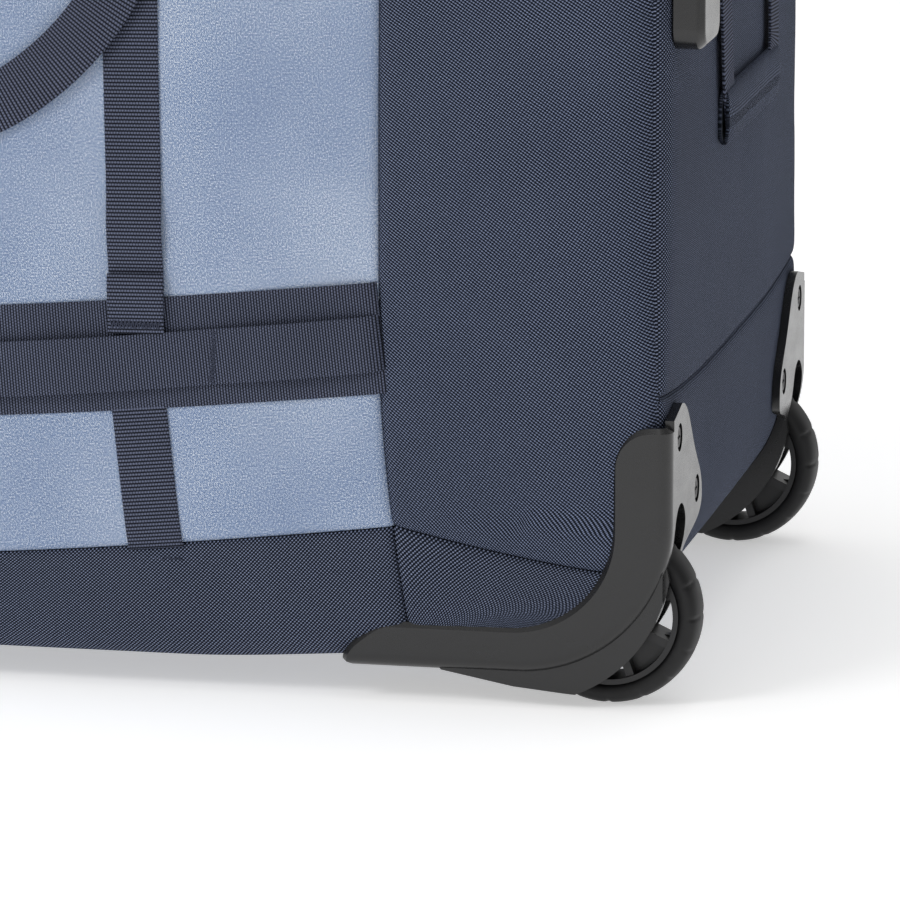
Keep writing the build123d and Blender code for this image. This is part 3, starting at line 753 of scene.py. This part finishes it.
def panel(name, look, size, edges, surface, heights=None, seams=(1, 1, 1, 1), cell=8 * MM):
    """A sheet cut to its four edges, laid on a surface and turned in at its seams.

    edges are left(b), right(b), low(a) and high(a) in the surface's two coordinates.
    """
    width, height = size
    left, right, low, high = edges
    us, vs = stations(width, cell), stations(height, cell)
    middle = (low(0) + high(0)) / 2
    points, uvs = [], []
    for u in us:
        for v in vs:
            a = mix(left(middle), right(middle), u)
            row = mix(low(a), high(a), v)
            a = mix(left(row), right(row), u)
            b = mix(low(a), high(a), v)
            near = (u * width, (1 - u) * width, v * height, (1 - v) * height)
            depth = sum(2.8 * MM * math.exp(-d / (1.5 * MM)) * s for d, s in zip(near, seams))
            along = (v * height, v * height, u * width, u * width)
            for d, run, s in zip(near, along, seams):
                pucker = noise.noise(Vector((run * 85, u * 3, len(name) * 1.7)))
                depth += 0.55 * MM * pucker * s * math.exp(-d / (9 * MM)) * min(1.0, d / (2 * MM))
            if heights:
                depth -= heights(u, v)
            points.append(surface(a, b, depth))
            uvs.append((u * width, v * height))
    sheet = mesh_object(name, points, grid_faces(len(us), len(vs)), look, uvs)
    return face_outwards(sheet)


def held_by_webbing(u, v):
    """Whether the webbing sewn across the blue panel holds the cloth down there."""
    x = mix(-266 * MM, 266 * MM, u)
    z = mix(base_seam(x), TOP_Z, v)
    beside = abs(abs(x) - STRAP_X) < 11 * MM
    return abs(z - band_line(x)) < 22 * MM or beside


def level(value):
    return lambda other: value


top_edge = level(TOP_Z - HEM)  # where the cloth of the walls ends below the top border


def base_edge(x):
    return bottom(x) + 0.4 * MM


def front_seam(z):
    return -end_seam(z)


def side_panels():
    def sewn(name, look, size, edges, swollen, slot, *nodes):
        """A panel of the right side and its mirror image on the left."""
        sheet = panel(name, look, size, edges, on_side, swollen)
        place_pair(finish_cloth(sheet), "bag", slot, *nodes)

    size = (532 * MM, 285 * MM)
    swollen = drape(*size, 4.2 * MM, 3.1, held_by_webbing)
    edges = (front_seam, end_seam, base_seam, top_edge)
    sewn("side_cloth_r", "blue", size, edges, swollen, "blue_fabric", "side_panel_r")
    swollen = drape(540 * MM, 50 * MM, 1.6 * MM, 5.2)
    edges = (front_seam, end_seam, base_edge, base_seam)
    sewn("side_base_cloth_r", "navy", (540 * MM, 60 * MM), edges, swollen, "navy_fabric", "side_base_r")

    ends = (
        ("wheel_end", end_seam, side_end, 7.7, 95 * MM),
        ("front_end", lambda z: corner_seam(z) - END_X, front_seam, 9.4, 110 * MM),
    )
    for end, left, right, seed, patch_width in ends:
        name, node = end + "_side_cloth_r", end + "_side_r"
        swollen = drape(118 * MM, 270 * MM, 3.0 * MM, seed)
        edges = (left, right, corner_patch_seam, top_edge)
        sewn(name, "navy_bias", (118 * MM, 280 * MM), edges, swollen, "navy_fabric", node)
        edges = (left, right, base_edge, corner_patch_seam)
        sewn(end + "_patch_r", "navy", (patch_width, 52 * MM), edges, None, "navy_fabric")


def end_panels():
    left = lambda z: corner_seam(z) - SIDE_Y
    right = lambda z: -left(z)
    size = (366 * MM, 210 * MM)
    swollen = drape(*size, 1.2 * MM, 11.3)
    edges = (left, right, kick_seam, top_edge)
    wheel_end = panel("wheel_end_cloth", "navy", size, edges, on_wheel_end, swollen)
    place(finish_cloth(wheel_end), "bag", "navy_fabric", "wheel_end_panel")

    swollen = drape(366 * MM, 320 * MM, 1.2 * MM, 13.9)
    edges = (left, right, level(BOTTOM_Z + HEM), top_edge)
    front = panel("front_end_cloth", "navy", (366 * MM, 323 * MM), edges, on_front_end, swollen)
    cup_low, cup_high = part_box("handle_cup")
    half, low, high = cup_high[1] - 6 * MM, cup_low[2] + 5 * MM, cup_high[2] - 5 * MM
    in_cup = lambda p: abs(p.y) < half and low < p.z < high
    place(finish_cloth(drop_faces(front, in_cup)), "bag", "navy_fabric", "front_end_panel")


def base_wrap():
    length = KICK_HEIGHT + ARC + CORNER_X + END_X - HEM
    half = lambda s: mix(SIDE_Y - 3 * MM, SIDE_Y - 11 * MM, smooth((s - KICK_HEIGHT) / ARC))
    edges = (lambda s: -half(s), half, lambda y: CORNER_Z + KICK_HEIGHT - kick_seam(y), level(length))
    size = (366 * MM, length)
    swollen = drape(*size, 0.8 * MM, 15.5, cell=14 * MM)
    wrap = panel("base_cloth", "navy", size, edges, on_wrap, swollen)
    in_well = lambda p: abs(p.y) > WELL_Y and p.z < WELL_TOP and p.x > WELL_X
    wrap = finish_cloth(drop_faces(wrap, in_well))
    place(wrap, "bag", "navy_fabric", "base_fabric", "wheel_end_kick_panel")


def rounded_outline(low_x, high_x, half_y, radius, count=10):
    """Points of a box with two rounded corners at its low-X end, from +Y round to -Y."""
    centre_x = low_x + radius
    points = [(high_x, half_y)]
    points += [(x, half_y) for x in np.linspace(high_x, centre_x, 60)[1:-1]]
    for centre_y, start in ((half_y - radius, 0.5), (radius - half_y, 1.0)):
        for angle in np.linspace(start * math.pi, (start + 0.5) * math.pi, count):
            points.append((centre_x + radius * math.cos(angle), centre_y + radius * math.sin(angle)))
        if start == 0.5:
            points += [(low_x, y) for y in np.linspace(half_y - radius, radius - half_y, 24)[1:-1]]
    points += [(x, -half_y) for x in np.linspace(centre_x, high_x, 60)[1:-1]]
    return [*points, (high_x, -half_y)]


def ring_sheet(name, look, outline, inward, rows, surface):
    """A strip of cloth along an outline; inward(point, r) moves a point across the strip."""
    points, uvs, run, last = [], [], 0.0, outline[0]
    for point in outline:
        run += math.dist(point, last)
        last = point
        for row in rows:
            x, y, depth = inward(point, row)
            points.append(surface(x, y, depth))
            uvs.append((run, row * 30 * MM))
    return mesh_object(name, points, grid_faces(len(outline), len(rows)), look, uvs)


def top_border():
    """The navy frame between the top edge of the walls and the zipper."""
    hole_x, hole_y = LID_LOW[0] - 9 * MM, LID_HIGH[1] + 9 * MM
    outline = rounded_outline(hole_x, END_X - 3 * MM, hole_y, 69 * MM)
    outer_x, outer_y = END_X - HEM, SIDE_Y - HEM

    def across(point, row):
        x, y = point
        scale = min(outer_x / max(abs(x), 1e-6), outer_y / max(abs(y), 1e-6))
        far = (x * scale, y * scale)
        if abs(y) > 100 * MM and abs(x) < 262 * MM or x > 0:
            far = (x, math.copysign(outer_y, y))
        near_edge = min(row, 1 - row)
        depth = 1.8 * MM * math.exp(-near_edge * 18)
        return mix(x, far[0], row), mix(y, far[1], row), depth

    rows = [0, 0.05, 0.12, 0.25, 0.45, 0.62, 0.76, 0.86, 0.93, 0.97, 1]
    frame_strip = face_outwards(ring_sheet("top_border_strip", "navy", outline, across, rows, on_top))
    hinge_x = LID_HIGH[0] + 5 * MM
    edges = (level(hinge_x), level(outer_x), level(-hole_y), level(hole_y))
    flap = panel("top_border_back", "navy", (88 * MM, 2 * hole_y), edges, on_top, seams=(1, 1, 0, 0))
    sheets = [finish_cloth(frame_strip), finish_cloth(flap)]
    place(merged("top_border_cloth", sheets), "bag", "navy_fabric", "top_border")


def lid():
    swollen = drape(600 * MM, 300 * MM, 3 * MM, 17.2)
    front, back, half = LID_LOW[0] + 0.5 * MM, LID_HIGH[0] + 4 * MM, LID_HIGH[1]
    radius = ZIP_CORNER

    def half_width(x):
        gap = max(0.0, front + radius - x)
        return half - radius + math.sqrt(max(0.0, radius * radius - gap * gap))

    edges = (level(front), level(back), lambda x: -half_width(x), half_width)
    sheet = panel("lid_cloth", "blue", (634 * MM, 300 * MM), edges, on_lid, swollen)
    sheet = finish_cloth(sheet)
    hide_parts("lid_panel")
    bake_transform(sheet)


# Webbing


def ribbon(name, route, width, lift, surface, look="web", step=6 * MM):
    """Webbing laid on a surface along a route of (a, b) points; lift(t) is its outer face's height."""
    route = resampled(route, step)
    across = np.linspace(-0.5, 0.5, 7)
    across = [-0.5, -0.485, *across[1:-1], 0.485, 0.5]
    points, uvs, run = [], [], 0.0
    for index, (a, b) in enumerate(route):
        before, after = route[max(0, index - 1)], route[min(len(route) - 1, index + 1)]
        along = np.array(after) - np.array(before)
        along = along / np.linalg.norm(along)
        run += math.dist(route[index - 1], route[index]) if index else 0.0
        for offset in across:
            drop = 0.45 * MM if abs(offset) == 0.5 else 0.0
            place_a, place_b = a - along[1] * width * offset, b + along[0] * width * offset
            points.append(surface(place_a, place_b, drop - lift(index / (len(route) - 1))))
            uvs.append((run, (offset + 0.5) * width))
    sheet = mesh_object(name, points, grid_faces(len(route), len(across)), look, uvs)
    return finish_cloth(face_outwards(sheet), WEBBING, inner=None)


def resampled(route, step):
    lengths = [0.0]
    for before, after in zip(route[:-1], route[1:]):
        lengths.append(lengths[-1] + math.dist(before, after))
    count = max(3, round(lengths[-1] / step) + 1)
    places = np.linspace(0, lengths[-1], count)
    xs = np.interp(places, lengths, [p[0] for p in route])
    ys = np.interp(places, lengths, [p[1] for p in route])
    return list(zip(xs.tolist(), ys.tolist()))


def threads(name, pieces, radius=0.28 * MM):
    """Stitches: each piece is a start, an end and the way out of the cloth."""
    points, faces = [], []
    for start, end, out in pieces:
        start, end, out = Vector(start), Vector(end), Vector(out).normalized()
        along = (end - start).normalized()
        side = along.cross(out).normalized()
        first = len(points)
        for t, rise in ((0, -0.35), (0.12, 0.1), (0.5, 0.32), (0.88, 0.1), (1, -0.35)):
            centre = start.lerp(end, t) + out * rise * MM
            for corner in range(6):
                angle = corner * math.pi / 3
                points.append(centre + (side * math.cos(angle) + out * math.sin(angle)) * radius)
        faces += grid_faces(5, 6, first, closed=True)
    return mesh_object(name, points, faces, "thread")


def tack(centre, run, across, out, length, width=3.6 * MM, pitch=0.85 * MM):
    """A zigzag bar tack along run, its stitches crossing it from side to side."""
    centre, run, across = Vector(centre), Vector(run).normalized(), Vector(across).normalized()
    pieces = []
    for index in range(int(length / pitch)):
        side = 1 if index % 2 else -1
        place_now = centre + run * (index * pitch - length / 2)
        start = place_now - across * side * width / 2
        pieces.append((start, place_now + run * pitch + across * side * width / 2, out))
    return pieces


def stitch_row(points, surface, lift, out, stitch=2.6 * MM, gap=0.8 * MM):
    """A row of lock stitches along points of a surface."""
    route = resampled(points, (stitch + gap) / 2)
    pieces = []
    for before, after in zip(route[0:-1:2], route[1::2]):
        share = stitch / (stitch + gap) * 2
        end = (mix(before[0], after[0], share), mix(before[1], after[1], share))
        pieces.append((surface(*before, -lift), surface(*end, -lift), out))
    return pieces


def webbing():
    ends = 268.5 * MM
    line = np.linspace(-ends, ends, 91).tolist()

    def into_seam(t):
        """Falls away where the webbing runs into the upright seams."""
        return 1 - smooth(min(t, 1 - t) * 2 * ends / (5 * MM))

    band_lift = lambda t: (1.7 - 2.2 * into_seam(t)) * MM
    route = [(x, band_line(x)) for x in line]
    band = ribbon("side_band_webbing_r", route, BAND, band_lift, on_side, "band", step=4 * MM)
    place_pair(band, "bag", "webbing", "side_band_r")

    stops = [-ends, -TACKS[1], -TACKS[0], TACKS[0], TACKS[1], ends]

    def daisy_lift(t):
        x = mix(-ends, ends, t)
        for low, high in zip(stops[:-1], stops[1:]):
            if low <= x <= high:
                arch = 2.6 * max(0.0, math.sin((x - low) / (high - low) * math.pi)) ** 0.7
                return (3.3 + arch * (1 - into_seam(t)) - 3.6 * into_seam(t)) * MM
        return -0.3 * MM

    route = [(x, daisy_line(x)) for x in line]
    daisy = ribbon("daisy_webbing_r", route, STRAP, daisy_lift, on_side, "band", step=4 * MM)
    place_pair(daisy, "bag", "webbing", "daisy_strap_r")

    pieces, straps, lowers = [], [], []
    top, join = EYE_Z + 5 * MM, band_line(STRAP_X) + BAND / 2
    fold_end = daisy_line(STRAP_X) + STRAP / 2 + 0.6 * MM
    foot = fold_end + 1 * MM
    low = base_seam(STRAP_X) - 0.5 * MM
    under = band_line(STRAP_X) - BAND / 2 + 6 * MM

    def strap_lift(t):
        """A loose bulge above the band, and a rise over the band's edge."""
        z = mix(top, foot, t)
        slack = 2.4 * MM * math.exp(-(((z - join) / MM - 30) / 13) ** 2)
        return 1.6 * MM + 1.7 * MM * smooth((join + 7 * MM - z) / (10 * MM)) + slack

    fold_lift = lambda t: (5.0 - 0.9 * (1 - smooth(t / 0.3))) * MM
    lower_lift = lambda t: 1.5 * MM * (1 - smooth((t - 0.93) / 0.07))
    for side in (-1, 1):
        lean = lambda z: side * (STRAP_X + 1.5 * MM - 0.02 * (z - join))
        slant = lambda z: side * (STRAP_X + 1.5 * MM + 0.1 * (under - z))
        route = [(lean(z), z) for z in np.linspace(top, foot, 30).tolist()]
        straps.append(ribbon("strap", route, STRAP, strap_lift, on_side))
        route = [(lean(z), z) for z in np.linspace(join + 11.5 * MM, fold_end, 8).tolist()]
        straps.append(ribbon("fold", route, STRAP + 0.6 * MM, fold_lift, on_side))
        route = [(slant(z), z) for z in np.linspace(under, low, 16).tolist()]
        lowers.append(ribbon("lower", route, STRAP, lower_lift, on_side))
        centre = on_side(lean(fold_end), fold_end + 4 * MM, -5.2 * MM)
        pieces += tack(centre, (1, 0, 0), UP, RIGHT, STRAP - 2 * MM)
        mend = on_side(slant(low), low - 4.5 * MM, 0)
        pieces += tack(mend, (1, 0, 0.02), UP, RIGHT, STRAP, 1.2 * MM, 2.2 * MM)
        for x in TACKS:
            centre = on_side(side * x, daisy_line(x), -3.5 * MM)
            pieces += tack(centre, (0.06 * side, 0, 1), (1, 0, 0), RIGHT, STRAP - 1 * MM)
    for node, items in (("haul_webbing", straps), ("lower_straps", lowers)):
        item = merged(node + "_r", items)
        place_pair(item, "bag", "webbing")
        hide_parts(node)
    place_pair(threads("strap_tacks_r", pieces), "bag", "webbing")


def haul_handles():
    """Swinging half of each carry strap: two legs of webbing and a padded wrap round the middle."""
    legs = []
    for side in (-1, 1):
        start, end = (STRAP_X, EYE_Z), (PAD_HALF - 12 * MM, PAD_Z)
        pulls = np.array((start, (152 * MM, EYE_Z - 30 * MM), (112 * MM, PAD_Z + 5 * MM), end))
        route = []
        for t in np.linspace(0, 1, 24):
            weights = ((1 - t) ** 3, 3 * t * (1 - t) ** 2, 3 * t * t * (1 - t), t**3)
            point = sum(w * p for w, p in zip(weights, pulls))
            route.append((side * float(point[0]), float(point[1])))
        legs.append(ribbon("leg", route, STRAP, haul_lift, on_side))
        legs.append(eye_fold(side * STRAP_X))
    place_pair(merged("haul_loop_webbing_r", legs), "haul_handle_r", "webbing", "haul_loop_r")

    def spine(t):
        x = mix(-PAD_HALF, PAD_HALF, t)
        return Vector((x, -side_skin(x, PAD_Z) - 6.2 * MM, PAD_Z - 2 * MM * math.sin(t * math.pi)))

    wrap = padded_bar("haul_pad_r", spine, RIGHT, UP, 4.6 * MM, 14 * MM, 21.0)
    for item in place_pair(wrap, "haul_handle_r", "wrap_fabric", "haul_wrap_r"):
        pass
    seam_z = PAD_Z - 9 * MM
    pieces = []
    for z in (seam_z, seam_z - 2.4 * MM):
        row = [(x * MM, z) for x in range(-50, 51, 10)]
        pieces += stitch_row(row, on_side, 10.6 * MM, RIGHT)
    place_pair(threads("haul_wrap_stitches_r", pieces), "haul_handle_r", "webbing")


def haul_lift(t):
    """The strap hangs from its eye and comes to rest against the side."""
    return mix(EYE_Y + 0.7 * MM - side_skin(STRAP_X, EYE_Z), 6.5 * MM, smooth(t * 1.3))


def eye_fold(x):
    """Webbing turned round on itself at the hinge line."""
    points, uvs = [], []
    radius = 2.3 * MM
    for offset in np.linspace(-STRAP / 2, STRAP / 2, 7):
        for angle in np.linspace(0, 2 * math.pi, 15)[:-1]:
            across, up = radius * math.cos(angle), radius * math.sin(angle)
            points.append((x + offset, -EYE_Y + across, EYE_Z + up))
            uvs.append((radius * angle, offset + STRAP / 2))
    return mesh_object("eye", points, grid_faces(7, 14, closed=True), "web", uvs)


def padded_bar(name, spine, out, up, thick, tall, seed):
    """A stuffed sleeve of cloth round a strap, with a seam along its outer face."""
    out, up = Vector(out), Vector(up)
    points, uvs, rings, sides = [], [], 34, 28
    for i in range(rings):
        t = i / (rings - 1)
        end = min(t, 1 - t)
        shape = 0.72 + 0.28 * smooth(end / 0.08)
        for j in range(sides):
            angle = 2 * math.pi * j / sides
            c, s = math.cos(angle), math.sin(angle)
            crease = noise.noise(Vector((t * 9, c * 1.2, s * 1.2 + seed))) * 0.7 * MM
            across = math.copysign(abs(c) ** 0.75, c) * thick * shape + crease * c
            height = math.copysign(abs(s) ** 0.62, s) * tall * (0.9 + 0.1 * shape)
            groove = 0.7 * MM * math.exp(-(((height + tall * 0.64) / (1.3 * MM)) ** 2)) if c > 0 else 0
            points.append(spine(t) + out * (across - groove) + up * height)
            uvs.append((t * 110 * MM, j / sides * 80 * MM))
    faces = grid_faces(rings, sides, closed=True)
    item = mesh_object(name, points, faces, "navy", uvs)
    item.data.materials.append(LOOKS["lining"])
    return finish_cloth(item, 1.6 * MM)


def end_handles():
    """Grab handle of each end: two webbing legs and a padded bar; sewn tabs hold it."""
    low, high = END_GRAB
    axis_x, eye_z = (low[0] + high[0]) / 2, high[2] - EYE_DROP
    pad_z = low[2] + 13 * MM
    leg_y = high[1] - 12 * MM
    half = leg_y + 6 * MM
    leg_lift = lambda t: axis_x + 0.8 * MM - end_skin(leg_y, eye_z) + 0.6 * MM * t
    tab_lift = lambda t: (1.8 + 4.6 * math.exp(-(((t - 0.6) / 0.14) ** 2))) * MM
    ends = (("wheel_end", 1, on_wheel_end), ("front_end", -1, on_front_end))
    for end, sign, surface in ends:
        name, legs = end + "_handle", []
        for y in (-leg_y, leg_y):
            route = [(y, eye_z), (y * 0.97, pad_z + 16 * MM), (y * 0.86, pad_z)]
            legs.append(ribbon("leg", route, 23 * MM, leg_lift, surface))
        place(merged(name + "_webbing", legs), name, "webbing")
        spine = lambda t: Vector((sign * (axis_x + 0.6 * MM), mix(-half, half, t), pad_z))
        bar = padded_bar(name + "_pad", spine, (sign, 0, 0), UP, 3.6 * MM, 12.6 * MM, 30.0 + sign)
        place(bar, name, "wrap_fabric", name)
    tabs, pieces = [], []
    for end, sign, surface in ends:
        for y in (-leg_y, leg_y):
            route = [(y, eye_z + 21 * MM), (y, eye_z - 14 * MM)]
            tabs.append(ribbon("tab", route, 27 * MM, tab_lift, surface, step=2.5 * MM))
            for z in (eye_z + 17 * MM, eye_z - 11 * MM):
                pieces += tack(surface(y, z, -2.1 * MM), (0, 1, 0), UP, (sign, 0, 0), 23 * MM)
    place(merged("handle_tab_webbing", tabs), "bag", "webbing", "handle_tabs")
    place(threads("handle_tab_tacks", pieces), "bag", "webbing")


# Zipper


def zip_line(offset=0.0):
    """The zipper's line seen from above, at an offset away from the lid, as (x, y) points."""
    edge = LID_HIGH[1] + CHAIN_GAP + offset
    corner = ZIP_CORNER + CHAIN_GAP + offset
    front = LID_LOW[0] - CHAIN_GAP - offset
    return rounded_outline(front, LID_HIGH[0] - 2 * MM, edge, corner, 24)


def zipper_half(name, side, body, *nodes):
    """One tape and its coil: side is 1 on the bag and -1 on the lid."""
    outer, inner = sorted((0.25 * side * MM, 4.6 * side * MM))
    lines = [zip_line(mix(outer, inner, t)) for t in (0, 0.12, 0.5, 0.88, 1)]
    points, uvs, run = [], [], 0.0
    for index in range(len(lines[0])):
        run += math.dist(lines[0][index], lines[0][index - 1]) if index else 0.0
        for row, line in enumerate(lines):
            points.append((*line[index], TOP_Z - 0.5 * MM + (0.25 * MM if row in (1, 2, 3) else 0)))
            uvs.append((run, row * 1.1 * MM))
    tape = mesh_object("tape", points, grid_faces(len(lines[0]), len(lines)), "tape", uvs)
    tape = finish_cloth(face_outwards(tape), 0.8 * MM, inner=None)
    route = resampled(zip_line(side * 0.8 * MM), TOOTH_PITCH)
    points, faces = [], []
    for index, (before, after) in enumerate(zip(route[:-1], route[1:])):
        along = Vector((after[0] - before[0], after[1] - before[1], 0)).normalized()
        across = Vector((along.y, -along.x, 0))
        share = 0.25 if side > 0 else 0.75
        centre = Vector((*before, TOP_Z + 0.2 * MM)).lerp(Vector((*after, TOP_Z + 0.2 * MM)), share)
        first = len(points)
        for step, width in ((-1, 0.5), (-0.7, 0.95), (0, 1.0), (0.7, 0.95), (1, 0.5)):
            for corner in range(6):
                angle = corner * math.pi / 3
                round_part = along * math.cos(angle) * 0.62 + Vector((0, 0, math.sin(angle) * 0.75))
                points.append(centre + across * step * 1.9 * MM + round_part * width * MM)
        faces += grid_faces(5, 6, first, closed=True)
        faces += [tuple(range(first, first + 6)), tuple(range(first + 24, first + 30))]
    coil = mesh_object("coil", points, faces, "coil")
    place(merged(name, [tape, coil]), body, "zipper_plastic", *nodes)


def zipper():
    zipper_half("zipper_bag_half", 1, "bag", "zipper_chain")
    zipper_half("zipper_lid_half", -1, "lid")
    for side in "lr":
        slider, pull = "slider_" + side, "pull_" + side
        place(from_node(slider, "slider"), slider, "slider_metal", slider)
        place(from_node(pull, "pull", 0.45 * MM), pull, "pull_plastic", pull)
    rows = [zip_line(9 * MM), zip_line(13 * MM)]
    pieces = [piece for row in rows for piece in stitch_row(row, on_top, 0.1 * MM, UP)]
    place(threads("zipper_stitches", pieces), "bag", "webbing")
    pieces = stitch_row(zip_line(-10 * MM), on_lid, 1.0 * MM, UP)
    place(threads("lid_stitches", pieces), "lid", "webbing")


# Wheels and hardware


def tyre(side):
    """Rubber tyre turned about its axle, with fine grooves across its shoulders."""
    low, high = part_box("tyre_" + side)
    centre, half = (low + high) / 2, (high.y - low.y) / 2
    outer = (high.z - low.z) / 2
    rim = outer - 9 * MM
    wall = [(-0.2, 0.0), (-0.2, 0.80), (0.5, 0.9), (2.2, 0.985), (4.5, 1.0)]
    tread = [(2.6, 0.93), (1.2, 0.80), (0.35, 0.55), (0.05, 0.28), (0, 0.0)]
    profile = [(rim + rise * MM, w) for rise, w in wall] + [(outer - drop * MM, w) for drop, w in tread]
    profile += [(r, -w) for r, w in reversed(profile[1:-1])]
    points, columns, grooves = [], 256, 16
    for i in range(columns):
        angle = 2 * math.pi * i / columns
        place_in_groove = abs((i / columns * grooves) % 1 - 0.5) * 2
        cut = smooth((place_in_groove - 0.84) / 0.12)
        for radius, width in profile:
            above_bead = smooth((radius - rim - 1.5 * MM) / (2 * MM))
            on_shoulder = above_bead * smooth((abs(width) - 0.3) / 0.25)
            bead = max(0.0, 1 - abs(radius - rim - 2.2 * MM) / (0.4 * MM)) * 0.25 * MM
            r = radius - 0.9 * MM * cut * on_shoulder
            x, z = centre.x + r * math.cos(angle), centre.z + r * math.sin(angle)
            points.append((x, centre.y + half * width - bead * width, z))
    rows = len(profile)
    faces = grid_faces(columns, rows, closed=True)
    last = (columns - 1) * rows
    faces += [(last + j, j, (j + 1) % rows, last + (j + 1) % rows) for j in range(rows)]
    item = mesh_object("tyre_rubber_" + side, points, faces, "rubber")
    reshape(item, lambda shape: bmesh.ops.recalc_face_normals(shape, faces=shape.faces))
    subdivide(item)
    return bake_modifiers(item)


def wheels():
    for side in "lr":
        wheel = "wheel_" + side
        place(tyre(side), wheel, "tyre_rubber", "tyre_" + side)
        place(from_node("hub_" + side, "hub"), wheel, "hub_plastic", "hub_" + side)
        housing = from_node("wheel_housing_" + side, "guard", 0.35 * MM)
        place(housing, "bag", "guard_plastic", "wheel_housing_" + side)


def hardware():
    plain = {
        "steel": "bearings_l bearings_r bearing_spacers wheel_axles axle_washers foot_screws",
        "black_steel": "housing_screws housing_backing rear_tube_bracket",
        "board": "base_board",
        "lining": "floor_panel",
        "tube": "outer_tubes middle_tubes inner_tubes",
    }
    for look, nodes in plain.items():
        for node in nodes.split():
            recolour(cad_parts[node], look)
    parts = [
        ("front_feet", "bag", "guard", "guard_plastic", 0.8),
        ("end_feet", "bag", "guard", "guard_plastic", 0.8),
        ("handle_cup", "bag", "grip", "grip_plastic", 0.5),
        ("outer_collars", "bag", "hub", "hub_plastic", 0.4),
        ("middle_collars", "handle_middle", "hub", "hub_plastic", 0.3),
        ("grip", "handle_grip", "grip", "grip_plastic", 0.6),
        ("push_button", "push_button", "button", "button_plastic", 0.5),
    ]
    for node, body, look, slot, bevel in parts:
        place(from_node(node, look, bevel * MM), body, slot, node)


# Stage


def aimed(item, eye, target):
    item.location = eye
    item.rotation_euler = (Vector(target) - Vector(eye)).to_track_quat("-Z", "Y").to_euler()


def stage():
    corners = [(-5, -5, 0), (5, -5, 0), (5, 5, 0), (-5, 5, 0)]
    floor = mesh_object("floor", corners, [(0, 1, 2, 3)], "lining")
    paper = Look("pale_floor", roughness=0.9, specular=0.1)
    tone = paper.noise(3, 2)
    paper.colour(paper.mix(tone, (0.90, 0.90, 0.905), (0.93, 0.93, 0.93)))
    paper.setting("Emission Color", (1, 1, 1, 1))
    paper.setting("Emission Strength", 0.45)
    LOOKS["floor"] = paper.material
    recolour(floor, "floor")
    world = bpy.data.worlds.new("studio")
    bpy.context.scene.world = world
    world.use_nodes = True
    tree = world.node_tree
    sky = tree.nodes["Background"]
    sky.inputs["Strength"].default_value = 0.6
    around = tree.nodes.new("ShaderNodeTexCoord")
    split = tree.nodes.new("ShaderNodeSeparateXYZ")
    shadow_side = tree.nodes.new("ShaderNodeMapRange")
    for slot, value in (("From Min", 0.25), ("From Max", 0.85), ("To Min", 1.0), ("To Max", 0.12)):
        shadow_side.inputs[slot].default_value = value
    tree.links.new(around.outputs["Generated"], split.inputs[0])
    tree.links.new(split.outputs["X"], shadow_side.inputs["Value"])
    tree.links.new(shadow_side.outputs["Result"], sky.inputs["Color"])
    lamps = [
        ("end_light", (2.6, 0.9, 1.1), (0.35, 0, 0.15), 1.6, 3),
        ("key_light", (-1.3, -2.1, 2.3), (0.2, 0, 0.1), 1.0, 24),
        ("top_light", (0.2, 0.3, 2.8), (0.1, 0, 0), 2.0, 12),
    ]
    for name, eye, target, size, power in lamps:
        lamp = bpy.data.lights.new(name, "AREA")
        lamp.shape = "SQUARE"
        lamp.size = size
        lamp.energy = power
        aimed(new_object(name, lamp), eye, target)
    bpy.context.scene.view_settings.view_transform = "Standard"


def camera():
    """The photographer's view of the wheel corner, a long lens from 3.2 m away."""
    data = bpy.data.cameras.new("camera")
    data.lens = 277.28
    data.sensor_width = 36
    item = new_object("camera", data)
    aimed(item, (0.8941694, -3.0668359, 0.7308371), (0.2585, 0, 0.0731))
    bpy.context.scene.camera = item


camera()
stage()
side_panels()
end_panels()
base_wrap()
top_border()
lid()
webbing()
haul_handles()
end_handles()
zipper()
wheels()
hardware()
